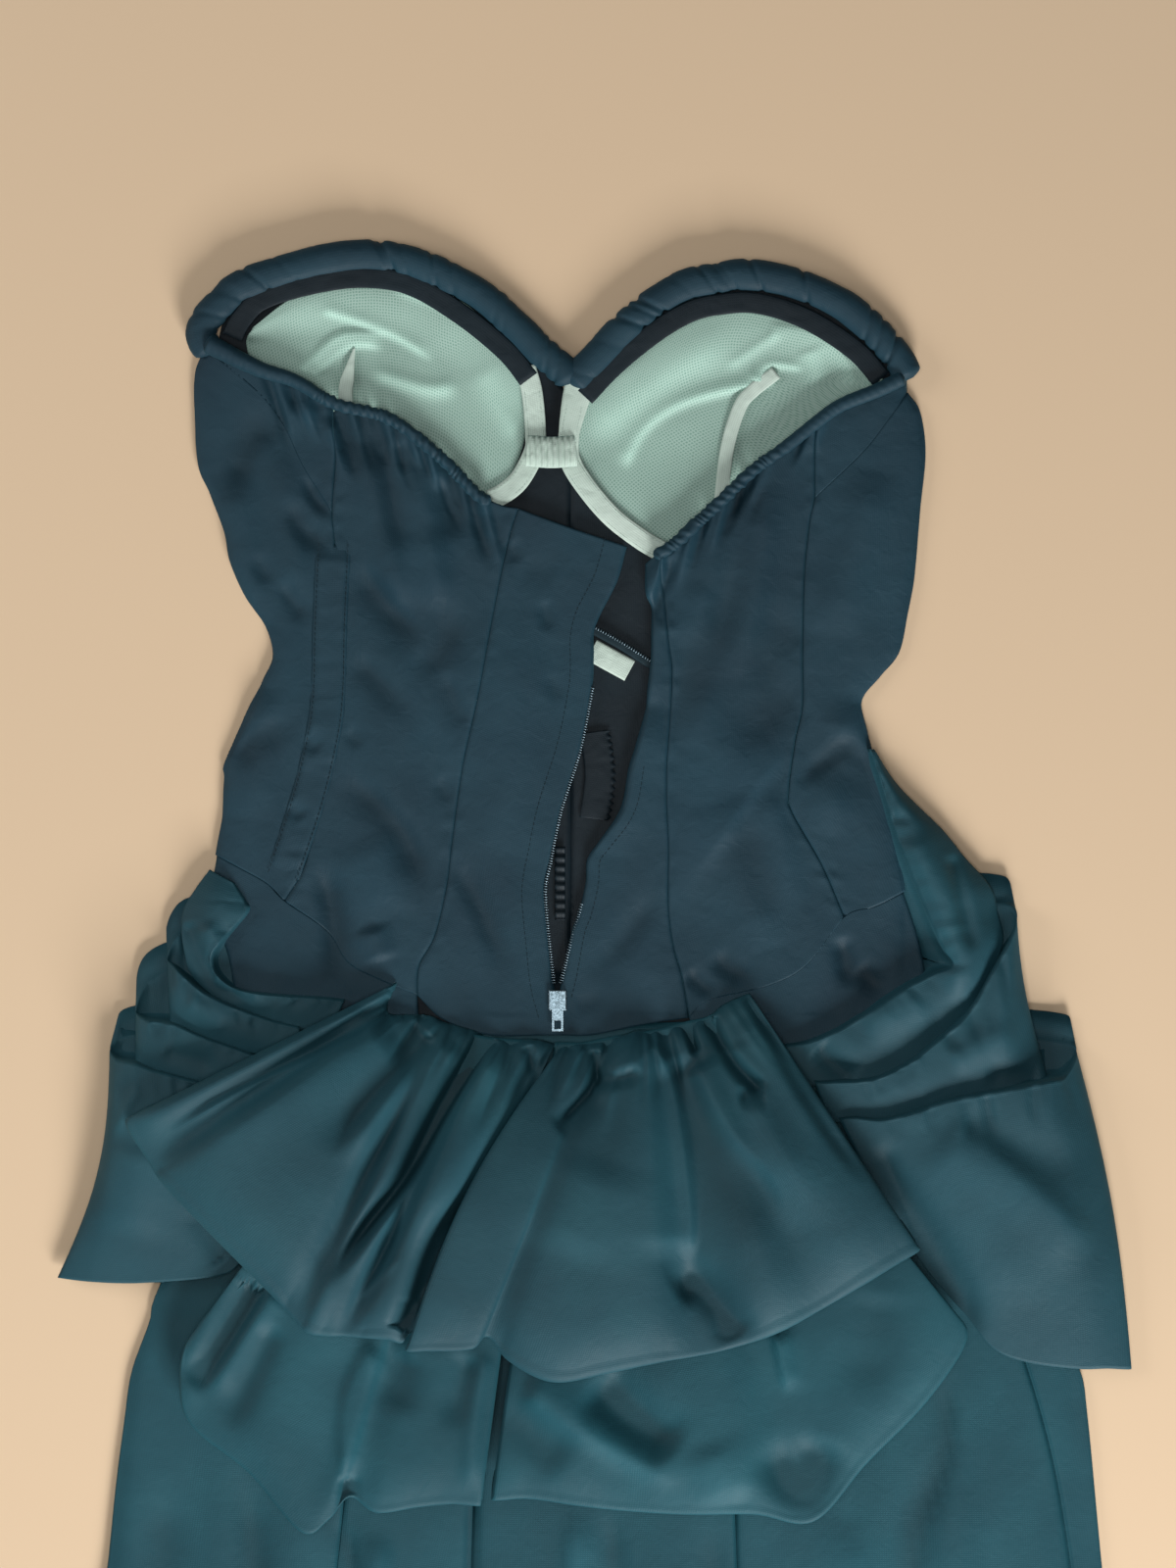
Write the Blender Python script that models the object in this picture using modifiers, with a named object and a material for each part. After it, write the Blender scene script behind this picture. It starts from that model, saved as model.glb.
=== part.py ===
"""Strapless bustle dress, laid flat with its back up.

Frame: metres in the file's meshes, millimetres in its tables. +Y runs from hem to bust,
+X to the wearer's right, +Z up from the surface that the dress lies on. The origin is the
middle of the floor rectangle under the dress.

Every cloth piece is an open surface with a Solidify wall. A panel between seams is a patch
between four edges, lifted by a height function. A draped piece is a fan of ribs, each from
its gathered head to its hem, one row of a table for each rib.
"""
from collections import namedtuple

import bmesh
import bpy
import numpy as np

MM = 0.001
CLOTH = 1.2             # wall of the taffeta
NET = 1.0               # wall of the net cups
SEAM_GAP = 0.3          # free space between two panels along their seam
BACK_LIFT = 5.4         # underside of the back above the surface
SIDE_LIFT = 2.4         # the same at the folded side edges
SKIRT_LIFT = 3.0
SIDE_FOLD = 18.0        # how far in from the side edge the back has its full lift
ROLL_RADIUS = 7.0       # padded top edge
CASING_RADIUS = 3.5     # elastic casing of the back
HEM_TUCK = 14.0         # how far a rolled hem runs back underneath
HEM_Y = -650.0
HEM_HALF = 362.0
SLIDER = (-17.4, 216.0, 7.0)     # middle of the slider's base
SLIDER_SIZE = (10.6, 12.0, 2.4)
BAIL = dict(width=1.6, leg=1.4, gap=2.0, bar=1.2, back=-3.2, front=4.7)
TAB = dict(length=19.0, width=6.4, thick=1.2, eye_width=3.2, eye_length=4.7, end_hole=5.0)

TEAL = (0.020, 0.060, 0.085)
TEAL_DARK = (0.010, 0.035, 0.050)
TEAL_GREEN = (0.020, 0.085, 0.105)
NET_GREEN = (0.42, 0.62, 0.52)
IVORY = (0.75, 0.90, 0.80)
STEEL = (0.45, 0.50, 0.52)

Rib = namedtuple("Rib", "head_x head_y head_z hem_x hem_y hem_z puff bow under")
Fold = namedtuple("Fold", "x1 y1 x2 y2 width height")

# Side edges of the laid dress, top to bottom.
LEFT_SIDE = [(-219, 590), (-225, 575), (-225, 549), (-223, 522), (-216, 506), (-207, 483),
             (-204, 467), (-195, 446), (-184, 429), (-180, 412), (-187, 396), (-207, 354),
             (-208, 343), (-209, 321), (-213, 299)]
RIGHT_SIDE = [(183, 564), (190, 553), (193, 530), (190, 497), (187, 460), (183, 438),
              (178, 415), (167, 401), (156, 386), (160, 366), (168, 340), (176, 307),
              (181, 278)]
SKIRT_LEFT = [(-196, 186), (-212, 120), (-246, 50), (-251, 31), (-261, 3), (-265, -25),
              (-272, -72), (-274, -108), (-HEM_HALF, HEM_Y)]
SKIRT_RIGHT = [(196, 186), (222, 110), (262, 40), (281, 5), (286, -24), (294, -108),
               (HEM_HALF, HEM_Y)]

# Seams of the back, top to bottom.
BOX_SEAM_TOP = [(-146, 546), (-145, 526), (-147, 496)]
BOX_SEAM = [(-147, 496), (-145, 470), (-147, 430), (-149, 395), (-151, 348), (-156, 329),
            (-163, 293), (-174, 273)]
PRINCESS_LEFT = [(-40, 498), (-44, 486), (-50, 460), (-57, 424), (-63, 391), (-72, 350),
                 (-78, 307), (-81, 282), (-88, 253), (-97, 236), (-98, 219)]
OPENING_LEFT = [(20, 477), (14, 456), (2, 431), (1, 415), (0, 395), (-7, 360), (-18, 325),
                (-24, 296), (-27, 278), (-24, 243), (-22, 225), (-18, 210), (-18, 196)]
OPENING_RIGHT = [(35, 468), (36, 456), (38, 442), (39, 422), (38, 403), (35, 382), (31, 363),
                 (27, 350), (24, 332), (19, 320), (9, 307), (2, 297), (1, 283), (-3, 266),
                 (-7, 255), (-11, 233), (-14, 220), (-17, 196)]
PRINCESS_RIGHT = [(42, 474), (42, 458), (44, 442), (46, 422), (48, 405), (47, 378), (45, 351),
                  (45, 326), (46, 305), (46, 270), (49, 247), (54, 229), (58, 206)]
SIDE_SEAM_TOP = [(130, 543), (130, 522), (130, 504)]
SIDE_SEAM = [(130, 504), (127, 490), (124, 460), (123, 415), (123, 385), (119, 366),
             (115, 336), (117, 324), (134, 294), (147, 264)]
UNDERARM_LEFT = [(-219, 590), (-189, 565), (-175, 547), (-163, 522), (-147, 496)]
UNDERARM_RIGHT = [(130, 504), (158, 531), (172, 549), (183, 564)]
BASQUE_SIDE_LEFT = [(-213, 299), (-198, 291), (-184, 283), (-174, 273)]
BASQUE_MIDDLE_LEFT = [(-174, 273), (-150, 256), (-138, 238), (-120, 228), (-98, 219)]
BASQUE_MIDDLE_RIGHT = [(58, 206), (69, 216), (102, 224), (125, 236), (147, 264)]
BASQUE_SIDE_RIGHT = [(147, 264), (165, 270), (181, 278)]

# Rolled top edge and the elastic casings, along their middles.
ROLL_LEFT = [(-218, 601), (-213, 612), (-203, 623), (-186, 631), (-162, 638), (-136, 643),
             (-112, 642), (-90, 635), (-64, 622), (-45, 606), (-29, 590), (-14, 577)]
ROLL_RIGHT = [(-3, 577), (7, 587), (22, 603), (38, 616), (56, 626), (74, 630), (92, 632),
              (112, 629), (132, 622), (150, 612), (165, 599), (178, 584)]
CASING_LEFT = [(-219, 593), (-189, 578), (-168, 571), (-145, 558), (-118, 551), (-101, 541),
               (-80, 523), (-65, 507), (-56, 501)]
CASING_RIGHT = [(181, 573), (167, 566), (145, 557), (132, 548), (113, 533), (96, 521),
                (79, 505), (65, 492), (50, 478), (38, 470)]

# Largest folds of the back bodice and yokes: soft ridges, or troughs where height is negative.
BODICE_FOLDS = [
    Fold(-205, 520, -192, 430, 12, 3.0),
    Fold(-186, 395, -192, 320, 12, 2.4),
    Fold(-176, 530, -165, 440, 9, 2.6),
    Fold(-126, 536, -108, 440, 9, 3.2),
    Fold(-98, 520, -84, 440, 8, 2.6),
    Fold(-118, 420, -112, 300, 18, 2.4),
    Fold(-40, 440, -52, 300, 18, 2.4),
    Fold(-125, 258, -118, 238, 9, 3.0),
    Fold(40, 440, 36, 385, 12, 2.8),
    Fold(36, 385, 12, 300, 12, 3.0),
    Fold(74, 488, 60, 360, 10, 3.0),
    Fold(104, 512, 86, 400, 11, 3.6),
    Fold(165, 520, 140, 425, 14, 3.4),
    Fold(150, 390, 135, 310, 12, 2.6),
    Fold(78, 330, 104, 245, 14, 3.0),
]
SKIRT_FOLDS = [
    Fold(-244, 10, -318, -640, 20, 3.6),
    Fold(-205, -30, -262, -640, 16, 3.0),
    Fold(-168, -60, -196, -640, 13, 3.4),
    Fold(-118, -60, -128, -640, 14, 3.6),
    Fold(-40, -60, -22, -640, 20, 3.4),
    Fold(36, -60, 58, -640, 16, 3.2),
    Fold(118, -50, 148, -640, 20, 3.4),
    Fold(206, 10, 236, -640, 13, 3.8),
    Fold(252, -20, 300, -640, 14, 2.6),
]

# Ribs of the draped pieces. Columns: head x y z, hem x y z, puff above the straight line,
# bow to the side, and the height at which a rolled hem comes back underneath.
SWAG_LEFT_1 = [
    Rib(-204, 284, 9, -217, 291, 5, 1, 0, 0),
    Rib(-198, 274, 10, -225, 280, 6, 4, 0, 0),
    Rib(-196, 267, 11, -232, 268, 6, 5, 0, 0),
    Rib(-208, 253, 13, -233, 255, 8, 3, 0, 0),
    Rib(-216, 242, 14, -231, 242, 9, 1, 0, 0),
    Rib(-214, 232, 14, -228, 232, 9, 1, 0, 0),
    Rib(-203, 223, 14, -219, 222, 9.5, 1, 0, 0),
    Rib(-184, 219, 14, -202, 211, 10, 1, 0, 0),
    Rib(-154, 217, 13, -174, 201, 10, 1, 0, 0),
    Rib(-140, 215, 11, -148, 197, 9.5, 0, 0, 0),
]
SWAG_LEFT_2 = [
    Rib(-228, 256, 3.5, -228, 206, 3.5, 0, 0, 0),
    Rib(-241, 240, 9, -239, 201, 8, 1, 0, 0),
    Rib(-236, 234, 15, -235, 200, 12, 2, 0, 0),
    Rib(-225, 224, 17, -221, 194, 12.5, 2, 0, 0),
    Rib(-216, 218, 17.5, -212, 190, 12.5, 2, 0, 0),
    Rib(-198, 210, 17.5, -193, 186, 12.5, 2, 0, 0),
    Rib(-181, 204, 16, -176, 183, 12, 1, 0, 0),
    Rib(-165, 200, 14, -162, 183, 12, 0, 0, 0),
]
SWAG_LEFT_3 = [
    Rib(-246, 227, 3, -246, 181, 3, 0, 0, 0),
    Rib(-259, 211, 8, -259, 178, 7, 1, 0, 0),
    Rib(-254, 205, 15, -254, 175, 12, 2, 0, 0),
    Rib(-237, 202, 19, -236, 170, 13, 2, 0, 0),
    Rib(-221, 195, 19, -218, 167, 13, 1, 0, 0),
    Rib(-204, 189, 18, -202, 167, 13, 1, 0, 0),
    Rib(-189, 183, 18, -187, 168, 14, 0, 0, 0),
]
WING_LEFT = [
    Rib(-263, 192, 2.0, -268, 54, 2.0, 0, 0, 0),
    Rib(-274, 188, 6, -304, 57, 4, 2, -9, 0),
    Rib(-270, 182, 15, -288, 55, 8, 5, -4, 0),
    Rib(-259, 180, 19, -265, 54, 10, 6, 0, 0),
    Rib(-249, 176, 21, -244, 55, 12, 4, 0, 0),
    Rib(-234, 172, 21, -221, 57, 13, 1, 0, 0),
    Rib(-216, 167, 19.5, -206, 60, 13, 0, 0, 0),
    Rib(-200, 161, 19, -199, 66, 13, 0, 0, 0),
]
SWAG_RIGHT_1 = [
    Rib(162, 360, 8, 164, 360, 7, 0, 0, 0),
    Rib(169, 339, 10, 178, 339, 5, 2, 0, 0),
    Rib(176, 315, 11, 203, 314, 6, 5, 0, 0),
    Rib(183, 295, 13, 216, 298, 6, 6, 0, 0),
    Rib(190, 278, 14, 231, 281, 6, 7, 0, 0),
    Rib(197, 261, 15, 235, 266, 6, 7, 0, 0),
    Rib(204, 246, 16, 238, 250, 8, 7, 0, 0),
    Rib(209, 236, 16, 231, 231, 9, 6, 0, 0),
    Rib(198, 231, 16, 221, 211, 9, 4, 0, 0),
    Rib(182, 223, 16, 204, 196, 9.5, 2, 0, 0),
    Rib(171, 216, 15, 189, 183, 10, 2, 0, 0),
    Rib(148, 201, 14, 164, 170, 10, 2, 0, 0),
    Rib(128, 192, 13, 139, 168, 10, 1, 0, 0),
    Rib(112, 189, 11, 120, 166, 10, 0, 0, 0),
]
SWAG_RIGHT_2 = [
    Rib(230, 270, 4, 244, 195, 4, 0, 0, 0),
    Rib(245, 267, 9, 263, 172, 7, 1, 3, 0),
    Rib(243, 253, 15, 252, 169, 11, 3, 3, 0),
    Rib(231, 232, 18, 243, 166, 13, 4, 0, 0),
    Rib(217, 208, 19, 233, 162, 13.5, 3, 0, 0),
    Rib(194, 188, 20, 210, 157, 14, 2, 0, 0),
    Rib(185, 181, 20, 189, 151, 14, 2, 0, 0),
    Rib(164, 171, 19, 169, 146, 14, 1, 0, 0),
    Rib(139, 169, 18, 150, 146, 14, 1, 0, 0),
    Rib(130, 169, 17, 137, 147, 14, 0, 0, 0),
]
WING_RIGHT = [
    Rib(268, 189, 2.0, 284, 15, 2.0, 0, 0, 0),
    Rib(280, 187, 6, 312, 5, 4, 2, -5, 0),
    Rib(273, 173, 15, 297, 5, 8, 5, -3, 0),
    Rib(263, 170, 21, 280, 5, 10, 6, 0, 0),
    Rib(233, 164, 23, 251, 9, 12, 5, 0, 0),
    Rib(206, 159, 23, 232, 17, 13, 3, 0, 0),
    Rib(189, 153, 22.5, 217, 35, 13, 2, 0, 0),
    Rib(169, 148, 21.5, 198, 57, 13, 1, 0, 0),
    Rib(152, 149, 20.5, 186, 73, 13, 0, 0, 0),
    Rib(144, 148, 19, 178, 76, 13, 0, 0, 0),
]
BUSTLE_LOWER_LEFT = [
    Rib(-91, 199, 8, -196, 55, 19, 0, 0, 17),
    Rib(-95, 203, 8, -228, 23, 22, 3, 0, 17.5),
    Rib(-91, 201, 8, -233, -7, 25, 1, 0, 17.5),
    Rib(-86, 200, 8, -225, -28, 21, 2, 0, 17.5),
    Rib(-81, 199, 8, -194, -53, 25, 2, 0, 17.5),
    Rib(-76, 198, 8, -164, -87, 23, 2, 0, 17.5),
    Rib(-68, 197, 8, -148, -80, 24, 2, 0, 17.5),
    Rib(-62, 196, 8, -136, -67, 21, 0, 0, 17.5),
    Rib(-56, 195, 8, -121, -76, 25, 2, 0, 17.5),
    Rib(-45, 194, 8, -98, -73, 26, 2, 0, 17.5),
    Rib(-34, 193, 8, -78, -71, 25, 2, 0, 17.5),
    Rib(-27, 192, 8, -61, -72, 24, 1, 0, 17.5),
    Rib(-25, 191, 7.5, -66, -66, 19, 0, 0, 17),
]
BUSTLE_LOWER_RIGHT = [
    Rib(-16, 191, 7.5, -49, -64, 19, 0, 0, 17),
    Rib(-19, 192, 8, -55, -69, 23, 1, 0, 17.5),
    Rib(-11, 192, 8, -34, -68, 26, 2, 0, 17.5),
    Rib(-3, 192, 8, -6, -72, 27, 2, 0, 17.5),
    Rib(7, 194, 8, 22, -75, 24, 1, 0, 17.5),
    Rib(18, 196, 8, 56, -77, 26, 2, 0, 17.5),
    Rib(28, 197, 8, 95, -77, 27, 3, 0, 17.5),
    Rib(36, 199, 8, 129, -81, 24, 2, 0, 17.5),
    Rib(45, 201, 8, 159, -48, 26, 1, 0, 17.5),
    Rib(56, 204, 8, 193, -13, 27, 2, 0, 17.5),
    Rib(66, 206, 8, 216, 22, 25, 2, 0, 17.5),
    Rib(72, 208, 9, 209, 38, 22, 2, 0, 17.5),
    Rib(71, 204, 8.5, 188, 49, 19, 0, 0, 17),
]
BUSTLE_UPPER_LEFT = [
    Rib(-111, 222, 11, -252, 147, 27, 0, 0, 25),
    Rib(-110, 226, 11.5, -262, 150, 31, 4, 0, 25.5),
    Rib(-112, 220, 12, -262, 143, 35, 8, 0, 26),
    Rib(-115, 211, 11, -251, 126, 31, 3, 0, 26),
    Rib(-112, 208, 12, -241, 111, 39, 9, 0, 26),
    Rib(-101, 208, 12, -210, 79, 42, 10, 0, 27),
    Rib(-90, 207, 12, -181, 50, 41, 10, 0, 28),
    Rib(-83, 204, 11, -168, 36, 37, 4, 0, 30),
    Rib(-77, 202, 12, -160, 28, 42, 9, 0, 31),
    Rib(-66, 199, 12, -148, 26, 40, 7, 0, 32),
    Rib(-59, 196, 11, -139, 26, 36, 0, 0, 32),
    Rib(-54, 195, 12, -128, 25, 42, 9, 0, 32),
    Rib(-45, 194, 12, -114, 24, 44, 10, 0, 32),
    Rib(-31, 194, 12, -106, 22, 40, 5, 0, 32),
    Rib(-22, 192, 11, -102, 27, 36, 0, 0, 32.5),
    Rib(-19, 191, 11, -90, 35, 34.5, 0, 0, 32.5),
]
BUSTLE_UPPER_RIGHT = [
    Rib(0, 190, 11, -67, 43, 39.5, 0, 0, 37.5),
    Rib(-15, 190, 12.5, -103, 20, 44, 9, 10, 38),
    Rib(-8, 191, 12.5, -90, 18, 46, 10, 6, 38),
    Rib(2, 192, 12.5, -66, 19, 44, 10, 0, 37),
    Rib(9, 193, 12, -57, 26, 40, 9, 0, 35),
    Rib(15, 195, 12.5, -45, 12, 45, 10, 0, 33),
    Rib(22, 197, 12.5, -20, 0, 46, 11, 0, 33),
    Rib(28, 199, 12.5, 11, 5, 46, 11, 0, 33),
    Rib(34, 199, 12, 40, 11, 44, 9, 0, 33),
    Rib(39, 199, 11.5, 63, 15, 37, 4, 0, 33),
    Rib(48, 201, 12, 81, 19, 40, 7, 0, 33),
    Rib(56, 203, 12.5, 108, 28, 46, 11, 0, 33),
    Rib(63, 205, 12, 134, 42, 43, 8, 0, 33),
    Rib(68, 206, 12.5, 158, 56, 45, 10, 0, 32),
    Rib(78, 214, 12.5, 176, 67, 43, 9, 0, 30),
    Rib(92, 220, 12, 189, 75, 38, 6, 0, 27),
    Rib(90, 217, 11.5, 180, 78, 29, 2, 0, 27),
]


def clear_scene():
    """Remove what the file opened with."""
    for item in list(bpy.data.objects):
        bpy.data.objects.remove(item, do_unlink=True)


def collection(name):
    """A new collection in the scene."""
    made = bpy.data.collections.new(name)
    bpy.context.scene.collection.children.link(made)
    return made


def finish(thing, name, colour, roughness, metallic=0.0):
    """Give an object one Principled material."""
    material = bpy.data.materials.new(name)
    material.use_nodes = True
    shader = material.node_tree.nodes["Principled BSDF"]
    shader.inputs["Base Color"].default_value = (*colour, 1.0)
    shader.inputs["Roughness"].default_value = roughness
    shader.inputs["Metallic"].default_value = metallic
    thing.data.materials.append(material)


def smooth_path(points, steps):
    """A smooth curve through the points, read at even steps along its length."""
    points = np.array(points, float)
    ends = np.vstack([2 * points[0] - points[1], points, 2 * points[-1] - points[-2]])
    t = np.linspace(0, 1, 12, endpoint=False)[:, None]
    runs = []
    for index in range(len(points) - 1):
        a, b, c, d = ends[index:index + 4]
        runs.append(0.5 * (2 * b + (c - a) * t + (2 * a - 5 * b + 4 * c - d) * t ** 2
                           + (3 * b - a - 3 * c + d) * t ** 3))
    fine = np.vstack(runs + [points[-1:]])
    length = np.append(0, np.cumsum(np.linalg.norm(np.diff(fine, axis=0), axis=1)))
    at = np.linspace(0, length[-1], steps + 1)
    return np.stack([np.interp(at, length, fine[:, k]) for k in range(points.shape[1])], axis=1)


def join(*edges):
    """Edges end to end, with the shared points once."""
    return np.vstack([edges[0]] + [edge[1:] for edge in edges[1:]])


def patch(west, east, north, south):
    """Grid between four edges that meet at the corners, rows from north to south."""
    v = np.linspace(0, 1, len(west))[:, None, None]
    u = np.linspace(0, 1, len(north))[None, :, None]
    down = (1 - v) * north[None] + v * south[None]
    over = (1 - u) * west[:, None] + u * east[:, None]
    corners = ((1 - v) * ((1 - u) * north[0] + u * north[-1])
               + v * ((1 - u) * south[0] + u * south[-1]))
    return down + over - corners


def fold_height(x, y, folds):
    """Sum of the folds: each a ridge along its line that fades at both ends."""
    total = np.zeros_like(x)
    for fold in folds:
        run_x = fold.x2 - fold.x1
        run_y = fold.y2 - fold.y1
        along = ((x - fold.x1) * run_x + (y - fold.y1) * run_y) / (run_x ** 2 + run_y ** 2)
        along = np.clip(along, 0, 1)
        off = np.hypot(x - fold.x1 - along * run_x, y - fold.y1 - along * run_y)
        fade = np.clip(6 * along * (1 - along), 0, 1)
        total += fold.height * fade * np.exp(-(off / fold.width) ** 2)
    return total


def side_distance(x, y, left, right):
    """How far a point lies inside the two side edges."""
    left = np.array(left)[::-1]
    right = np.array(right)[::-1]
    return np.minimum(x - np.interp(y, left[:, 1], left[:, 0]),
                      np.interp(y, right[:, 1], right[:, 0]) - x)


def back_height(x, y):
    """Underside of the back bodice: flat, folded down to the sides, with its largest folds."""
    inside = np.clip(side_distance(x, y, LEFT_SIDE, RIGHT_SIDE) / SIDE_FOLD, 0, 1)
    side = np.interp(y, [225, 300], [BACK_LIFT - 0.4, SIDE_LIFT])
    return side + (BACK_LIFT - side) * np.sqrt(inside * (2 - inside)) \
        + fold_height(x, y, BODICE_FOLDS)


def skirt_height(x, y):
    """Underside of the back skirt."""
    inside = np.clip(side_distance(x, y, SKIRT_LEFT, SKIRT_RIGHT) / SIDE_FOLD, 0, 1)
    side = np.interp(y, [60, 150], [2.0, SKIRT_LIFT])
    return side + (SKIRT_LIFT - side) * np.sqrt(inside * (2 - inside)) \
        + fold_height(x, y, SKIRT_FOLDS)


def lifted(flat, height):
    """A flat grid with its heights."""
    x = flat[..., 0]
    y = flat[..., 1]
    z = height(x, y) if callable(height) else np.full_like(x, height)
    return np.stack([x, y, z], axis=-1)


def cloth(name, grid, colour, wall=CLOTH):
    """A wall of cloth that stands on the grid of points, given in millimetres."""
    rows, columns = grid.shape[:2]
    across = grid[0, -1] - grid[0, 0]
    down = grid[-1, 0] - grid[0, 0]
    index = np.arange(rows * columns).reshape(rows, columns)
    faces = np.stack([index[:-1, :-1], index[1:, :-1], index[1:, 1:], index[:-1, 1:]], axis=-1)
    faces = faces.reshape(-1, 4)
    if np.cross(down[:2], across[:2]) < 0:
        faces = faces[:, ::-1]
    mesh = bpy.data.meshes.new(name)
    mesh.from_pydata((grid.reshape(-1, 3) * MM).tolist(), [], faces.tolist())
    mesh.shade_smooth()
    thing = bpy.data.objects.new(name, mesh)
    parts.objects.link(thing)
    solid = thing.modifiers.new("wall", "SOLIDIFY")
    solid.thickness = wall * MM
    solid.offset = 1.0
    finish(thing, name, colour, 0.5)
    return thing


def panel(name, west, east, north, south, height, colour=TEAL, wall=CLOTH):
    """A cut panel, set back from its neighbours by half the seam gap at west and east."""
    half = SEAM_GAP / 2
    flat = patch(west, east, north, south)
    u = np.linspace(1, -1, flat.shape[1])[None, :]
    v = np.linspace(-1, 1, flat.shape[0])[:, None]
    flat = flat + np.stack([u * half + 0 * v, v * half + 0 * u], axis=-1)
    return cloth(name, lifted(flat, height), colour, wall)


def band(name, path, width, height, steps, colour, wall=CLOTH):
    """A flat ribbon along a path; height is one number or one at each point of the path."""
    middle = smooth_path([(*point, z) for point, z in zip(path, np.broadcast_to(height, len(path)))],
                         steps)
    run = np.gradient(middle[:, :2], axis=0)
    side = np.stack([-run[:, 1], run[:, 0], np.zeros(len(run))], axis=1)
    side /= np.linalg.norm(side, axis=1)[:, None]
    grid = np.stack([middle + side * width / 2, middle - side * width / 2], axis=1)
    return cloth(name, grid, colour, wall)


def tube(name, path, radius, height, steps, colour):
    """A padded roll: a round curve with filled ends."""
    middle = smooth_path(path, steps)
    curve = bpy.data.curves.new(name, "CURVE")
    curve.dimensions = "3D"
    curve.bevel_depth = radius * MM
    curve.bevel_resolution = 2
    curve.use_fill_caps = True
    line = curve.splines.new("POLY")
    line.points.add(steps)
    for point, (x, y) in zip(line.points, middle):
        point.co = (x * MM, y * MM, height * MM, 1.0)
    thing = bpy.data.objects.new(name, curve)
    parts.objects.link(thing)
    finish(thing, name, colour, 0.5)
    return thing


def rib_points(rib, stations, tuck):
    """One rib: out of its head, over its puff, round its hem and back underneath."""
    head = np.array([rib.head_x, rib.head_y], float)
    hem = np.array([rib.hem_x, rib.hem_y], float)
    length = np.linalg.norm(hem - head)
    ahead = (hem - head) / length
    aside = np.array([ahead[1], -ahead[0]])
    radius = (rib.hem_z - rib.under) / 2 if rib.under else 0.0
    s = np.array(stations)[:, None]
    flat = head + ahead * (length - radius) * s + aside * rib.bow * np.sin(np.pi * s)
    rise = rib.head_z + (rib.hem_z - rib.head_z) * s + rib.puff * np.sin(np.pi * s)
    points = [np.hstack([flat, rise])]
    if radius:
        turn = np.radians([60, 120, 180])[:, None]
        out = flat[-1] + ahead * radius * np.sin(turn)
        drop = rib.hem_z - radius * (1 - np.cos(turn))
        points.append(np.hstack([out, drop]))
        points.append(np.append(flat[-1] - ahead * tuck, rib.under)[None])
    return np.vstack(points)


def drape(name, ribs, stations, colour):
    """A gathered or draped piece through its ribs."""
    grid = np.stack([rib_points(rib, stations, HEM_TUCK) for rib in ribs], axis=1)
    return cloth(name, grid, colour)


def box(name, size, centre):
    """A plain block, its size and place in millimetres."""
    mesh = bpy.data.meshes.new(name)
    block = bmesh.new()
    bmesh.ops.create_cube(block, size=1.0)
    bmesh.ops.scale(block, vec=[side * MM for side in size], verts=block.verts)
    bmesh.ops.translate(block, vec=[place * MM for place in centre], verts=block.verts)
    block.to_mesh(mesh)
    block.free()
    return bpy.data.objects.new(name, mesh)


def add_boolean(thing, tool, operation):
    """Join or cut with a hidden tool."""
    tool.hide_render = True
    tool.display_type = "WIRE"
    cutters.objects.link(tool)
    step = thing.modifiers.new(tool.name, "BOOLEAN")
    step.operation = operation
    step.object = tool


def build_front():
    """The front, face down on the surface."""
    top_left = [(-214, 588), (-207, 603), (-198, 614), (-183, 622), (-160, 629), (-136, 634),
                (-113, 633), (-94, 626), (-70, 614), (-52, 599), (-36, 583), (-10, 562)]
    top_right = [(-10, 562), (13, 580), (28, 596), (43, 608), (59, 617), (75, 621), (92, 623),
                 (110, 620), (128, 613), (144, 603), (157, 592), (172, 572)]
    steps = 12
    columns = 6
    west = [(-214, 588), (-221, 549), (-219, 522), (-211, 503), (-202, 480), (-191, 446),
            (-181, 429), (-177, 412), (-184, 394), (-203, 352), (-205, 321), (-205, 230)]
    east = [(172, 572), (187, 548), (187, 500), (183, 460), (179, 438), (174, 415),
            (163, 401), (152, 384), (156, 362), (165, 330), (175, 290), (188, 230)]
    centre = [(-10, 562), (-10, 400), (-10, 230)]
    panel("front_left", smooth_path(west, steps), smooth_path(centre, steps),
          smooth_path(top_left, columns), smooth_path([(-205, 230), (-10, 230)], columns),
          0.0, TEAL_DARK)
    panel("front_right", smooth_path(centre, steps), smooth_path(east, steps),
          smooth_path(top_right, columns), smooth_path([(-10, 230), (188, 230)], columns),
          0.0, TEAL_DARK)
    inset = 3.0
    west = smooth_path([(-205, 230)] + SKIRT_LEFT, steps)
    east = smooth_path([(188, 230)] + SKIRT_RIGHT, steps)
    west[1:-1, 0] += inset
    east[1:-1, 0] -= inset
    panel("front_skirt", west, east, smooth_path([(-205, 230), (188, 230)], columns),
          smooth_path([(-HEM_HALF, HEM_Y), (HEM_HALF, HEM_Y)], columns), 0.0, TEAL_DARK)


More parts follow.
